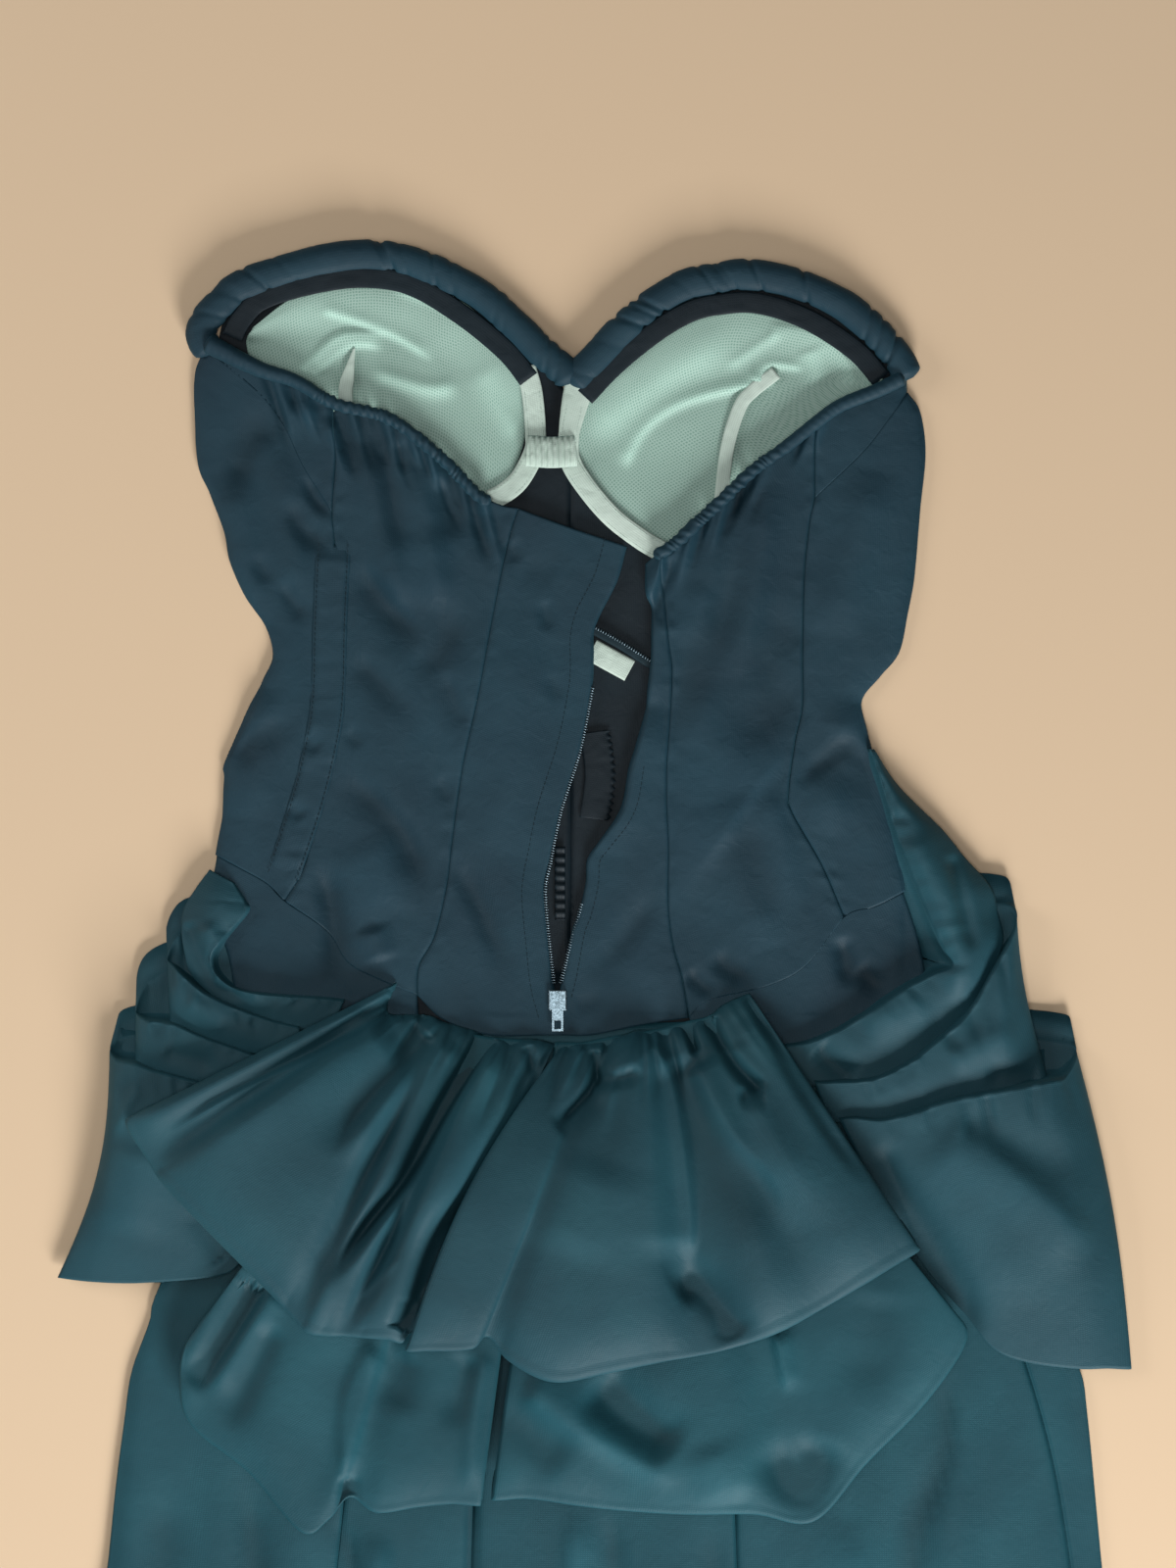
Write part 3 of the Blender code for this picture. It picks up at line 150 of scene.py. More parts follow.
# draped pieces. Ribs: head x y z, hem x y z, puff, bow, height of the hem's return
drapes = {
    "swag_left_1": dict(ribs=[
        (-204, 284, 9, -217, 291, 5, 1, 0, 0), (-198, 274, 10, -225, 280, 6, 4, 0, 0),
        (-196, 267, 11, -232, 268, 6, 5, 0, 0), (-208, 253, 13, -233, 255, 8, 3, 0, 0),
        (-216, 242, 14, -231, 242, 9, 1, 0, 0), (-214, 232, 14, -228, 232, 9, 1, 0, 0),
        (-203, 223, 14, -219, 222, 9.5, 1, 0, 0), (-184, 219, 14, -202, 211, 10, 1, 0, 0),
        (-154, 217, 13, -174, 201, 10, 1, 0, 0), (-140, 215, 11, -148, 197, 9.5, 0, 0, 0)],
        creases=[([(-230, 262), (-214, 226), (-190, 217)], -2.4, 4, 4, .1, .2),
                 ([(-219, 262), (-200, 226), (-178, 218)], 2.0, 5, 5, .1, .2)]),
    "swag_left_2": dict(ribs=[
        (-200, 262, 3, -204, 206, 3, 0, 0, 0), (-231, 256, 3.5, -230, 206, 3.5, 0, 0, 0),
        (-241, 240, 9, -239, 201, 8, 1, 0, 0),
        (-236, 234, 15, -235, 200, 12, 2, 0, 0), (-225, 224, 17, -221, 194, 12.5, 2, 0, 0),
        (-216, 218, 17.5, -212, 190, 12.5, 2, 0, 0), (-198, 210, 17.5, -193, 186, 12.5, 2, 0, 0),
        (-181, 204, 16, -176, 183, 12, 1, 0, 0), (-165, 200, 14, -162, 183, 12, 0, 0, 0)],
        creases=[([(-230, 218), (-203, 204)], 2.0, 8, 8, .2, .3)]),
    "swag_left_3": dict(ribs=[
        (-218, 240, 3, -222, 181, 3, 0, 0, 0), (-250, 227, 3, -249, 181, 3, 0, 0, 0),
        (-259, 211, 8, -259, 178, 7, 1, 0, 0),
        (-254, 205, 15, -254, 175, 12, 2, 0, 0), (-237, 202, 19, -236, 170, 13, 2, 0, 0),
        (-221, 195, 19, -218, 167, 13, 1, 0, 0), (-204, 189, 18, -202, 167, 13, 1, 0, 0),
        (-189, 183, 18, -187, 168, 14, 0, 0, 0)],
        creases=[([(-244, 188), (-210, 178)], -2.0, 6, 6, .2, .3)]),
    "wing_left": dict(ribs=[
        (-232, 200, 2, -243, 54, 2, 0, 0, 0), (-264, 194, 2.0, -270, 54, 2.0, 0, 0, 0),
        (-274, 188, 6, -304, 57, 4, 2, -9, 0),
        (-270, 182, 15, -288, 55, 8, 5, -4, 0), (-259, 180, 19, -265, 54, 10, 6, 0, 0),
        (-249, 176, 21, -244, 55, 12, 4, 0, 0), (-234, 172, 21, -221, 57, 13, 1, 0, 0),
        (-216, 167, 19.5, -206, 60, 13, 0, 0, 0), (-200, 161, 19, -199, 66, 13, 0, 0, 0)],
        creases=[([(-255, 170), (-272, 139)], 1.4, 3, 3, .2, .3),
                 ([(-254, 136), (-266, 78)], 2.6, 18, 18, .2, .3),
                 ([(-206, 70), (-227, 104)], -3.0, 10, 10, .0, .4)]),
    "swag_right_1": dict(ribs=[
        (162, 360, 8, 164, 360, 7, 0, 0, 0), (169, 339, 10, 178, 339, 5, 2, 0, 0),
        (176, 315, 11, 203, 314, 6, 5, 0, 0), (183, 295, 13, 216, 298, 6, 6, 0, 0),
        (190, 278, 14, 231, 281, 6, 7, 0, 0), (197, 261, 15, 235, 266, 6, 7, 0, 0),
        (204, 246, 16, 238, 250, 8, 7, 0, 0), (209, 236, 16, 231, 231, 9, 6, 0, 0),
        (198, 231, 16, 221, 211, 9, 4, 0, 0), (182, 223, 16, 204, 196, 9.5, 2, 0, 0),
        (171, 216, 15, 189, 183, 10, 2, 0, 0), (148, 201, 14, 164, 170, 10, 2, 0, 0),
        (128, 192, 13, 139, 168, 10, 1, 0, 0), (112, 189, 11, 120, 166, 10, 0, 0, 0)],
        creases=[([(184, 312), (205, 258), (214, 212)], 3.2, 9, 6, .1, .2),
                 ([(208, 300), (221, 243)], -3.0, 4, 4, .1, .2),
                 ([(130, 188), (152, 171)], -4.0, 7, 7, .1, .1),
                 ([(156, 201), (200, 216)], 2.4, 10, 10, .2, .3)]),
    "swag_right_2": dict(ribs=[
        (205, 272, 3, 218, 195, 3, 0, 0, 0), (234, 271, 4, 250, 195, 4, 0, 0, 0),
        (245, 267, 9, 263, 172, 7, 1, 3, 0),
        (243, 253, 15, 252, 169, 11, 3, 3, 0), (231, 232, 18, 243, 166, 13, 4, 0, 0),
        (217, 208, 19, 233, 162, 13.5, 3, 0, 0), (194, 188, 20, 210, 157, 14, 2, 0, 0),
        (185, 181, 20, 189, 151, 14, 2, 0, 0), (164, 171, 19, 169, 146, 14, 1, 0, 0),
        (139, 169, 18, 150, 146, 14, 1, 0, 0), (130, 169, 17, 137, 147, 14, 0, 0, 0)],
        creases=[([(225, 175), (259, 172)], -2.4, 6, 7, .3, .1),
                 ([(205, 179), (248, 201)], 2.4, 8, 8, .2, .3)]),
    "wing_right": dict(ribs=[
        (240, 194, 2, 262, 17, 2, 0, 0, 0), (270, 191, 2.0, 288, 15, 2.0, 0, 0, 0),
        (280, 187, 6, 312, 5, 4, 2, -5, 0),
        (273, 173, 15, 297, 5, 8, 5, -3, 0), (263, 170, 21, 280, 5, 10, 6, 0, 0),
        (233, 164, 23, 251, 9, 12, 5, 0, 0), (206, 159, 23, 232, 17, 13, 3, 0, 0),
        (189, 153, 22.5, 217, 35, 13, 2, 0, 0), (169, 148, 21.5, 198, 57, 13, 1, 0, 0),
        (152, 149, 20.5, 186, 73, 13, 0, 0, 0), (144, 148, 19, 178, 76, 13, 0, 0, 0)],
        creases=[([(205, 147), (240, 119), (291, 72)], 4.2, 9, 22, .15, .2),
                 ([(212, 147), (289, 115)], -3.4, 14, 14, .1, .3),
                 ([(162, 134), (200, 72), (226, 24)], -4.5, 9, 9, .1, .2),
                 ([(190, 143), (252, 34)], 2.5, 20, 20, .2, .3)]),
    "bustle_lower_left": dict(ribs=[
        (-91, 199, 8, -196, 55, 19, 0, 0, 17), (-95, 203, 8, -228, 23, 22, 3, 0, 17.5),
        (-91, 201, 8, -233, -7, 25, 1, 0, 17.5), (-86, 200, 8, -225, -28, 21, 2, 0, 17.5),
        (-81, 199, 8, -194, -53, 25, 2, 0, 17.5), (-76, 198, 8, -164, -87, 23, 2, 0, 17.5),
        (-68, 197, 8, -148, -80, 24, 2, 0, 17.5), (-62, 196, 8, -136, -67, 21, 0, 0, 17.5),
        (-56, 195, 8, -121, -76, 25, 2, 0, 17.5), (-45, 194, 8, -98, -73, 26, 2, 0, 17.5),
        (-34, 193, 8, -78, -71, 25, 2, 0, 17.5), (-27, 192, 8, -61, -72, 24, 1, 0, 17.5),
        (-25, 191, 7.5, -66, -66, 19, 0, 0, 17)],
        creases=[([(-189, 52), (-210, 18), (-228, -6)], -8.0, 6, 9, .0, .2),
                 ([(-180, 50), (-200, 20), (-219, -10)], 4.5, 10, 6, .05, .3),
                 ([(-180, 31), (-207, -30)], -3.4, 8, 8, .1, .3),
                 ([(-122, 20), (-137, -13), (-138, -60)], 3.4, 12, 5, .1, .2),
                 ([(-137, -56), (-137, -76)], -6.0, 4, 4, .1, .0),
                 ([(-104, 14), (-111, -20)], -3.2, 10, 10, .1, .4),
                 ([(-68, 14), (-80, -30)], -3.2, 8, 8, .1, .4),
                 ([(-58, 15), (-64, -20), (-66, -66)], 3.4, 5, 6, .1, .2)]),
    "bustle_lower_right": dict(ribs=[
        (-16, 191, 7.5, -49, -64, 19, 0, 0, 17), (-19, 192, 8, -55, -69, 23, 1, 0, 17.5),
        (-11, 192, 8, -34, -68, 26, 2, 0, 17.5), (-3, 192, 8, -6, -72, 27, 2, 0, 17.5),
        (7, 194, 8, 22, -75, 24, 1, 0, 17.5), (18, 196, 8, 56, -77, 26, 2, 0, 17.5),
        (28, 197, 8, 95, -77, 27, 3, 0, 17.5), (36, 199, 8, 129, -81, 24, 2, 0, 17.5),
        (45, 201, 8, 159, -48, 26, 1, 0, 17.5), (56, 204, 8, 193, -13, 27, 2, 0, 17.5),
        (66, 206, 8, 216, 22, 25, 2, 0, 17.5), (72, 208, 9, 209, 38, 22, 2, 0, 17.5),
        (71, 204, 8.5, 188, 49, 19, 0, 0, 17)],
        creases=[([(1, 0), (27, -23), (51, -42)], -8.0, 14, 14, .2, .2),
                 ([(-39, -4), (-6, -26), (27, -45), (58, -61)], 5.5, 14, 8, .1, .3),
                 ([(-53, -16), (-10, -50)], -4.0, 12, 14, .2, .3),
                 ([(107, 26), (114, -9)], 3.6, 9, 2.4, .05, .3),
                 ([(98, -35), (121, -59), (135, -30)], -7.0, 14, 14, .3, .25),
                 ([(165, 52), (157, -15)], -2.6, 18, 16, .2, .4),
                 ([(68, -35), (84, -72)], 2.5, 16, 18, .3, .3)]),
    "bustle_upper_left": dict(ribs=[
        (-111, 222, 11, -252, 147, 27, 0, 0, 25), (-110, 226, 11.5, -262, 150, 31, 4, 0, 25.5),
        (-112, 220, 12, -262, 143, 35, 8, 0, 26), (-115, 211, 11, -251, 126, 31, 3, 0, 26),
        (-112, 208, 12, -241, 111, 39, 9, 0, 26), (-101, 208, 12, -210, 79, 42, 10, 0, 27),
        (-90, 207, 12, -181, 50, 41, 10, 0, 28), (-83, 204, 11, -168, 36, 37, 4, 0, 30),
        (-77, 202, 12, -160, 28, 42, 9, 0, 31), (-66, 199, 12, -148, 26, 40, 7, 0, 32),
        (-59, 196, 11, -139, 26, 36, 0, 0, 32), (-54, 195, 12, -128, 25, 42, 9, 0, 32),
        (-45, 194, 12, -114, 24, 44, 10, 0, 32), (-31, 194, 12, -106, 22, 40, 5, 0, 32),
        (-22, 192, 11, -102, 27, 36, 0, 0, 32.5), (-19, 191, 11, -90, 35, 34.5, 0, 0, 32.5)],
        creases=[([(-114, 207), (-147, 188), (-202, 162), (-242, 138)], 6.0, 26, 3, .1, .25),
                 ([(-90, 197), (-125, 160), (-150, 128)], -5.0, 4, 12, .05, .35),
                 ([(-76, 194), (-110, 160), (-142, 122)], 4.0, 10, 6, .1, .3),
                 ([(-56, 195), (-82, 157), (-106, 114), (-128, 85), (-150, 54)], -12, 4, 5, 0, .25),
                 ([(-48, 190), (-74, 155), (-98, 112), (-120, 83), (-140, 52)], 5.0, 10, 4, .1, .3),
                 ([(-106, 73), (-133, 44)], 1.6, 2.2, 2.2, .3, .3),
                 ([(-23, 168), (-66, 130), (-112, 72)], 4.5, 14, 14, .2, .3),
                 ([(-44, 113), (-82, 85), (-99, 40)], -10, 9, 8, .2, .1),
                 ([(-42, 100), (-76, 66)], -5.0, 8, 7, .2, .3),
                 ([(-106, 29), (-99, 48)], -8.0, 6, 6, .0, .3),
                 ([(-35, 190), (-30, 172)], -3.4, 3, 3, .05, .3)]),
    "bustle_upper_right": dict(ribs=[
        (0, 190, 11, -67, 43, 39.5, 0, 0, 37.5), (-15, 190, 12.5, -103, 20, 44, 9, 10, 38),
        (-8, 191, 12.5, -90, 18, 46, 10, 6, 38), (2, 192, 12.5, -66, 19, 44, 10, 0, 37),
        (9, 193, 12, -57, 26, 40, 9, 0, 35), (15, 195, 12.5, -45, 12, 45, 10, 0, 33),
        (22, 197, 12.5, -20, 0, 46, 11, 0, 33), (28, 199, 12.5, 11, 5, 46, 11, 0, 33),
        (34, 199, 12, 40, 11, 44, 9, 0, 33), (39, 199, 11.5, 63, 15, 37, 4, 0, 33),
        (48, 201, 12, 81, 19, 40, 7, 0, 33), (56, 203, 12.5, 108, 28, 46, 11, 0, 33),
        (63, 205, 12, 134, 42, 43, 8, 0, 33), (68, 206, 12.5, 158, 56, 45, 10, 0, 32),
        (78, 214, 12.5, 176, 67, 43, 9, 0, 30), (92, 220, 12, 189, 75, 38, 6, 0, 27),
        (90, 217, 11.5, 180, 78, 29, 2, 0, 27)],
        creases=[([(4, 188), (2, 167), (-18, 145)], -5.0, 3, 3, .05, .2),
                 ([(4, 170), (23, 173), (28, 180)], -4.0, 4, 4, .05, .3),
                 ([(29, 199), (47, 170), (57, 100), (56, 67)], 6.0, 4, 26, .1, .12),
                 ([(48, 50), (62, 56), (75, 43), (86, 22)], -8.0, 10, 9, .15, .2),
                 ([(56, 203), (62, 186)], -6.0, 2.6, 2.6, .0, .05),
                 ([(62, 181), (84, 142), (108, 115), (114, 82)], 6.0, 22, 7, .05, .35),
                 ([(51, 186), (72, 130), (97, 78)], -5.0, 14, 14, .1, .4),
                 ([(70, 205), (84, 180), (100, 164)], -8.0, 4, 4, .0, .1),
                 ([(100, 164), (84, 161)], -4.5, 5, 5, .05, .4),
                 ([(94, 214), (125, 161), (163, 109)], -3.2, 5, 4, .1, .3),
                 ([(90, 208), (120, 165), (140, 125)], 3.0, 7, 9, .1, .4),
                 ([(9, 130), (-13, 67)], 3.0, 24, 24, .3, .3),
                 ([(-18, 143), (9, 164)], -2.5, 6, 6, .1, .3)]),
}
drapeLooks = {    # columns, stations, gather depth mm, gather reach as a share of the rib, soft waves mm
    "swag": dict(columns=110, stations=22, gather=0.5, reach=0.6, wave=0.5),
    "wing": dict(columns=90, stations=48, gather=0.5, reach=0.25, wave=0.5),
    "bustle_lower": dict(columns=120, stations=76, gather=0.0, reach=0.1, wave=0.9),
    "bustle_upper": dict(columns=180, stations=84, gather=1.7, reach=0.34, wave=0.5),
}
cupCreases = {
    "left": [([(-155, 612), (-117, 600), (-87, 583)], 2.2, 5, 2, .1, .2),
             ([(-165, 576), (-143, 597), (-114, 598)], 2.0, 2, 6, .05, .2),
             ([(-158, 573), (-137, 591), (-116, 591)], 1.5, 4, 2, .05, .2),
             ([(-127, 577), (-92, 567), (-72, 570)], 2.0, 5, 5, .2, .2),
             ([(-114, 625), (-90, 617), (-61, 606)], 1.3, 2, 3, .2, .2),
             ([(-61, 602), (-40, 587)], 1.0, 2, 2, .2, .2),
             ([(-64, 581), (-38, 538)], 1.4, 10, 8, .2, .2)],
    "right": [([(20, 520), (33, 544), (58, 560), (108, 572)], 2.4, 6, 2.4, .1, .05),
              ([(95, 570), (104, 580), (125, 578)], 1.8, 4, 2, .1, .2),
              ([(-2, 538), (45, 573), (90, 597)], 1.6, 9, 9, .2, .3),
              ([(78, 578), (113, 601)], 1.3, 3, 3, .2, .2),
              ([(104, 603), (132, 598), (146, 585), (155, 566)], 1.0, 2, 7, .05, .1),
              ([(126, 591), (135, 569)], 1.6, 8, 8, .2, .3)],
}


def smoothPath(points, spots):
    # Catmull-Rom curve through the points, read at spots, shares of its length from 0 to 1
    points = np.array(points, float)
    if np.isscalar(spots):
        spots = np.linspace(0, 1, spots + 1)
    ends = np.vstack([2 * points[0] - points[1], points, 2 * points[-1] - points[-2]])
    t = np.linspace(0, 1, 12, endpoint=False)[:, None]
    a, b, c, d = (ends[k:k + len(points) - 1, None] for k in range(4))
    fine = 0.5 * (2 * b + (c - a) * t + (2 * a - 5 * b + 4 * c - d) * t ** 2
                  + (3 * b - a - 3 * c + d) * t ** 3)
    fine = np.vstack([fine.reshape(-1, points.shape[1]), points[-1:]])
    length = np.append(0, np.cumsum(np.linalg.norm(np.diff(fine, axis=0), axis=1)))
    at = spots * length[-1]
    return np.stack([np.interp(at, length, fine[:, k]) for k in range(points.shape[1])], axis=1)


def crowded(count):
    # shares from 0 to 1 that stand closer at both ends
    t = np.linspace(0, 1, count + 1)
    return 0.55 * t + 0.45 * (0.5 - 0.5 * np.cos(math.pi * t))


def patch(west, east, north, south, spotsDown, spotsOver):
    # Coons patch: the two ruled surfaces between opposite edges, less the one between corners
    v = spotsDown[:, None, None]
    u = spotsOver[None, :, None]
    corners = (1 - v) * ((1 - u) * north[0] + u * north[-1]) + v * ((1 - u) * south[0] + u * south[-1])
    return (1 - v) * north[None] + v * south[None] + (1 - u) * west[:, None] + u * east[:, None] - corners


def foldHeight(x, y, folds):
    # a bell across each fold's line, fading at both ends
    total = np.zeros_like(x)
    for x1, y1, x2, y2, width, height in folds:
        runX, runY = x2 - x1, y2 - y1
        along = np.clip(((x - x1) * runX + (y - y1) * runY) / (runX ** 2 + runY ** 2), 0, 1)
        off = np.hypot(x - x1 - along * runX, y - y1 - along * runY)
        total += height * np.clip(6 * along * (1 - along), 0, 1) * np.exp(-(off / width) ** 2)
    return total


def sideDistance(x, y, left, right):
    # how far inside the two side edges a point lies
    left = np.array(cut[left])[::-1]
    right = np.array(cut[right])[::-1]
    return np.minimum(x - np.interp(y, left[:, 1], left[:, 0]), np.interp(y, right[:, 1], right[:, 0]) - x)


def softNoise(x, y, size, seed):
    # random values on a lattice of that size, blended with smooth steps
    table = np.random.default_rng(seed).uniform(-1, 1, (128, 128))
    u, v = x / size + 500.0, y / size + 500.0
    i, j = np.floor(u).astype(int), np.floor(v).astype(int)
    f, g = u - i, v - j
    f, g = f * f * (3 - 2 * f), g * g * (3 - 2 * g)
    i, j = i % 127, j % 127
    top = (1 - f) * table[j, i] + f * table[j, i + 1]
    return (1 - g) * top + g * ((1 - f) * table[j + 1, i] + f * table[j + 1, i + 1])


def creaseLift(x, y, creases):
    # each crease is a bell across a smooth line, with its own width on either side, fading at its ends
    lift = np.zeros_like(x)
    for points, height, left, right, fadeIn, fadeOut in creases:
        line = smoothPath(points, 8 + 4 * len(points))
        reach = 2.4 * max(left, right)
        low, high = line.min(axis=0) - reach, line.max(axis=0) + reach
        near = (x > low[0]) & (x < high[0]) & (y > low[1]) & (y < high[1])
        if not near.any():
            continue
        spot = np.stack([x[near], y[near]], axis=-1)
        run = np.diff(line, axis=0)
        away = spot[:, None] - line[None, :-1]
        share = np.clip((away * run).sum(-1) / (run ** 2).sum(-1), 0, 1)
        off = away - share[..., None] * run
        gap = np.hypot(off[..., 0], off[..., 1])
        best = gap.argmin(axis=1)
        row = np.arange(len(best))
        side = run[best, 0] * off[row, best, 1] - run[best, 1] * off[row, best, 0]
        along = (best + share[row, best]) / len(run)
        fade = np.clip(along / max(fadeIn, 0.001), 0, 1) * np.clip((1 - along) / max(fadeOut, 0.001), 0, 1)
        fade = fade * fade * (3 - 2 * fade)
        width = np.where(side > 0, left, right)
        lift[near] += height * fade * np.exp(-(gap[row, best] / width) ** 2)
    return lift


def gatherCreases(starts, ends, pitch, depth, width, share, seed):
    # short creases that fan from a gathered edge, at uneven steps, each a random share of the way down
    random = np.random.default_rng(seed)
    length = np.append(0, np.cumsum(np.linalg.norm(np.diff(starts, axis=0), axis=1)))
    count = int(length[-1] / pitch)
    at = np.sort(random.uniform(0, length[-1], count))
    made = []
    for spot in at:
        head = np.array([np.interp(spot, length, starts[:, k]) for k in (0, 1)])
        foot = np.array([np.interp(spot, length, ends[:, k]) for k in (0, 1)])
        reach = random.uniform(0.35, 1.0) * share
        bend = random.uniform(-0.06, 0.06) * (foot - head)[::-1] * reach
        middle = head + (foot - head) * reach * 0.5 + bend
        size = random.uniform(0.7, 1.5)
        sign = -1 if random.random() < 0.62 else 0.8
        made.append(([tuple(head), tuple(middle), tuple(head + (foot - head) * reach)],
                     sign * depth * size, width * size, width * size * random.uniform(0.6, 1.2), .02, .6))
    return made


bodiceLook = dict(creaseWidth=1.65, creaseDepth=0.95, lowest=3.3, seamDepth=0.8, seamWidth=0.95)
bodiceCreases = [(line, deep * bodiceLook["creaseDepth"], left * bodiceLook["creaseWidth"],
                  right * bodiceLook["creaseWidth"], max(fadeIn, .3), max(fadeOut, .4))
                 for line, deep, left, right, fadeIn, fadeOut in bodiceCreases]
casingLeftLine = smoothPath(cut["casingLeft"], 60)
casingRightLine = smoothPath(cut["casingRight"], 60)
bodiceCreases += gatherCreases(casingLeftLine[12:], casingLeftLine[12:] + np.array([14, -52]), 4.6, 2.5,
                               2.3, 1, 3)
bodiceCreases += gatherCreases(casingRightLine[14:], casingRightLine[14:] + np.array([-12, -44]), 4.6,
                               2.1, 2.3, 1, 4)


def bodiceTop(x, y):
    # upper face of the back: the frame's underside and wall, with its creases and fine unevenness
    inside = np.clip(sideDistance(x, y, "leftSide", "rightSide") / 18, 0, 1)
    side = np.interp(y, [225, 300], [5.0, 2.4])
    base = side + (5.4 - side) * np.sqrt(inside * (2 - inside)) + foldHeight(x, y, backFolds) + 1.2
    soft = 0.45 * softNoise(x, y, 26, 11) + 0.16 * softNoise(x + 0.4 * y, y, 8, 12)
    lift = np.maximum(creaseLift(x, y, bodiceCreases), -4.2) * np.clip(inside * 3, 0.1, 1)
    return np.maximum(base + lift + soft, np.minimum(base, bodiceLook["lowest"] + 0.25 * lift + soft))


skirtCreases = [
    ([(206, 10), (205, -49), (187, -106), (176, -300)], -3.4, 5, 10, .1, .3),
    ([(-206, -44), (-192, -108), (-204, -300)], -3.0, 8, 8, .2, .3),
    ([(-150, -84), (-137, -108), (-132, -260)], -3.2, 5, 5, .1, .3),
    ([(-120, -90), (-126, -240)], 3.6, 8, 8, .1, .3),
    ([(-67, -60), (-67, -108), (-76, -400)], -3.6, 3, 4, .05, .3),
    ([(0, -77), (-10, -108), (-24, -300)], 3.4, 10, 4, .1, .3),
    ([(11, -75), (15, -108), (24, -380)], -3.4, 5, 6, .1, .3),
    ([(70, -80), (84, -400)], -2.4, 9, 9, .1, .3),
    ([(150, -80), (170, -420)], 3.2, 16, 16, .1, .3),
    ([(-240, -60), (-286, -420)], -2.4, 12, 12, .1, .3),
]


def skirtTop(x, y):
    # upper face of the back skirt
    inside = np.clip(sideDistance(x, y, "skirtLeft", "skirtRight") / 18, 0, 1)
    side = np.interp(y, [60, 150], [2.0, 3.0])
    base = side + (3 - side) * np.sqrt(inside * (2 - inside)) + foldHeight(x, y, skirtFolds) + 1.2
    lift = creaseLift(x, y, skirtCreases) + 0.8 * softNoise(x * 1.6, y * 0.4, 30, 21)
    return np.maximum(base + lift * np.clip(inside * 3, 0, 1), 1.9)


# materials
def linear(code):
    # sRGB hex value to linear light
    parts = [int(code[k:k + 2], 16) / 255 for k in (1, 3, 5)]
    return (*[c / 12.92 if c <= 0.04045 else ((c + 0.055) / 1.055) ** 2.4 for c in parts], 1.0)


def addNode(tree, kind, inputs=None, **settings):
    # one node with its settings; an input is a value or another node's output
    node = tree.nodes.new(kind)
    for key, value in settings.items():
        setattr(node, key, value)
    for key, value in (inputs or {}).items():
        if isinstance(value, bpy.types.NodeSocket):
            tree.links.new(value, node.inputs[key])
        else:
            node.inputs[key].default_value = value
    return node


def startMaterial(name, settings):
    # a Principled shader with its constants on its own sockets
    material = bpy.data.materials.new(name)
    material.use_nodes = True
    tree = material.node_tree
    shader = tree.nodes["Principled BSDF"]
    for key, value in settings.items():
        shader.inputs[key].default_value = value
    coords = addNode(tree, "ShaderNodeTexCoord")
    return material, tree, shader, coords


def wovenCloth(name, dark, middle, light, threadMm, roughness, sheen, crinkle=0.5):
    # plain-woven cloth: crosswise rib, faint clouding of the dye, small crinkles, with painted shade in
    # creases and painted highlight on crests
    material, tree, shader, coords = startMaterial(name, {
        "Sheen Weight": sheen, "Sheen Roughness": 0.4, "Sheen Tint": linear("#5E9DAA"), "IOR": 1.45,
        "Specular IOR Level": 0.3})
    place = coords.outputs["Object"]
    weave = coords.outputs["UV"]
    cloud = addNode(tree, "ShaderNodeTexNoise", {"Vector": place, "Scale": 16.0, "Detail": 4.0})
    ramp = addNode(tree, "ShaderNodeValToRGB", {"Fac": cloud.outputs["Fac"]})
    ramp.color_ramp.elements[0].position = 0.05
    ramp.color_ramp.elements[0].color = linear(dark)
    ramp.color_ramp.elements[1].position = 0.97
    ramp.color_ramp.elements[1].color = linear(light)
    ramp.color_ramp.elements.new(0.5).color = linear(middle)
    # wave scale: a wave texture repeats about every 0.314 / scale metres
    warp = addNode(tree, "ShaderNodeTexWave", {"Vector": weave, "Scale": 314 / threadMm, "Distortion": 0.4,
                   "Detail": 1.0}, bands_direction="Y")
    weft = addNode(tree, "ShaderNodeTexWave", {"Vector": weave, "Scale": 314 / threadMm * 0.8,
                                               "Distortion": 0.3,
                   "Detail": 1.0}, bands_direction="X")
    threads = addNode(tree, "ShaderNodeMath", {0: warp.outputs["Fac"], 1: weft.outputs["Fac"]},
                      operation="MULTIPLY")
    shade = addNode(tree, "ShaderNodeMapRange", {"Value": threads.outputs[0], "To Min": 0.88,
                                                 "To Max": 1.08})
    mixed = addNode(tree, "ShaderNodeVectorMath", {0: ramp.outputs["Color"], 1: shade.outputs[0]},
                    operation="MULTIPLY")
    # a slight painted shade in creases and a slight painted highlight on crests, read from the foldMark
    # attribute, helps them to read
    fold = addNode(tree, "ShaderNodeAttribute", attribute_name="foldMark")
    depth = addNode(tree, "ShaderNodeMapRange", {"Value": fold.outputs["Fac"], "From Min": -1.0,
                                                 "From Max": 1.0,
                    "To Min": 0.74, "To Max": 1.22})
    creaseShadedColour = addNode(tree, "ShaderNodeVectorMath", {0: mixed.outputs[0], 1: depth.outputs[0]},
                    operation="MULTIPLY")
    tree.links.new(creaseShadedColour.outputs[0], shader.inputs["Base Color"])
    gloss = addNode(tree, "ShaderNodeTexNoise", {"Vector": place, "Scale": 60.0, "Detail": 3.0})
    rough = addNode(tree, "ShaderNodeMapRange", {"Value": gloss.outputs["Fac"], "To Min": roughness - 0.06,
                    "To Max": roughness + 0.08})
    tree.links.new(rough.outputs[0], shader.inputs["Roughness"])
    small = addNode(tree, "ShaderNodeTexNoise", {"Vector": place, "Scale": 130.0, "Detail": 3.0,
                                                 "Distortion": 0.6})
    first = addNode(tree, "ShaderNodeBump", {"Height": small.outputs["Fac"], "Strength": crinkle,
                    "Distance": 0.0009})
    second = addNode(tree, "ShaderNodeBump", {"Height": threads.outputs[0], "Strength": 0.28,
                     "Distance": 0.00025, "Normal": first.outputs[0]})
    tree.links.new(second.outputs[0], shader.inputs["Normal"])
    return material


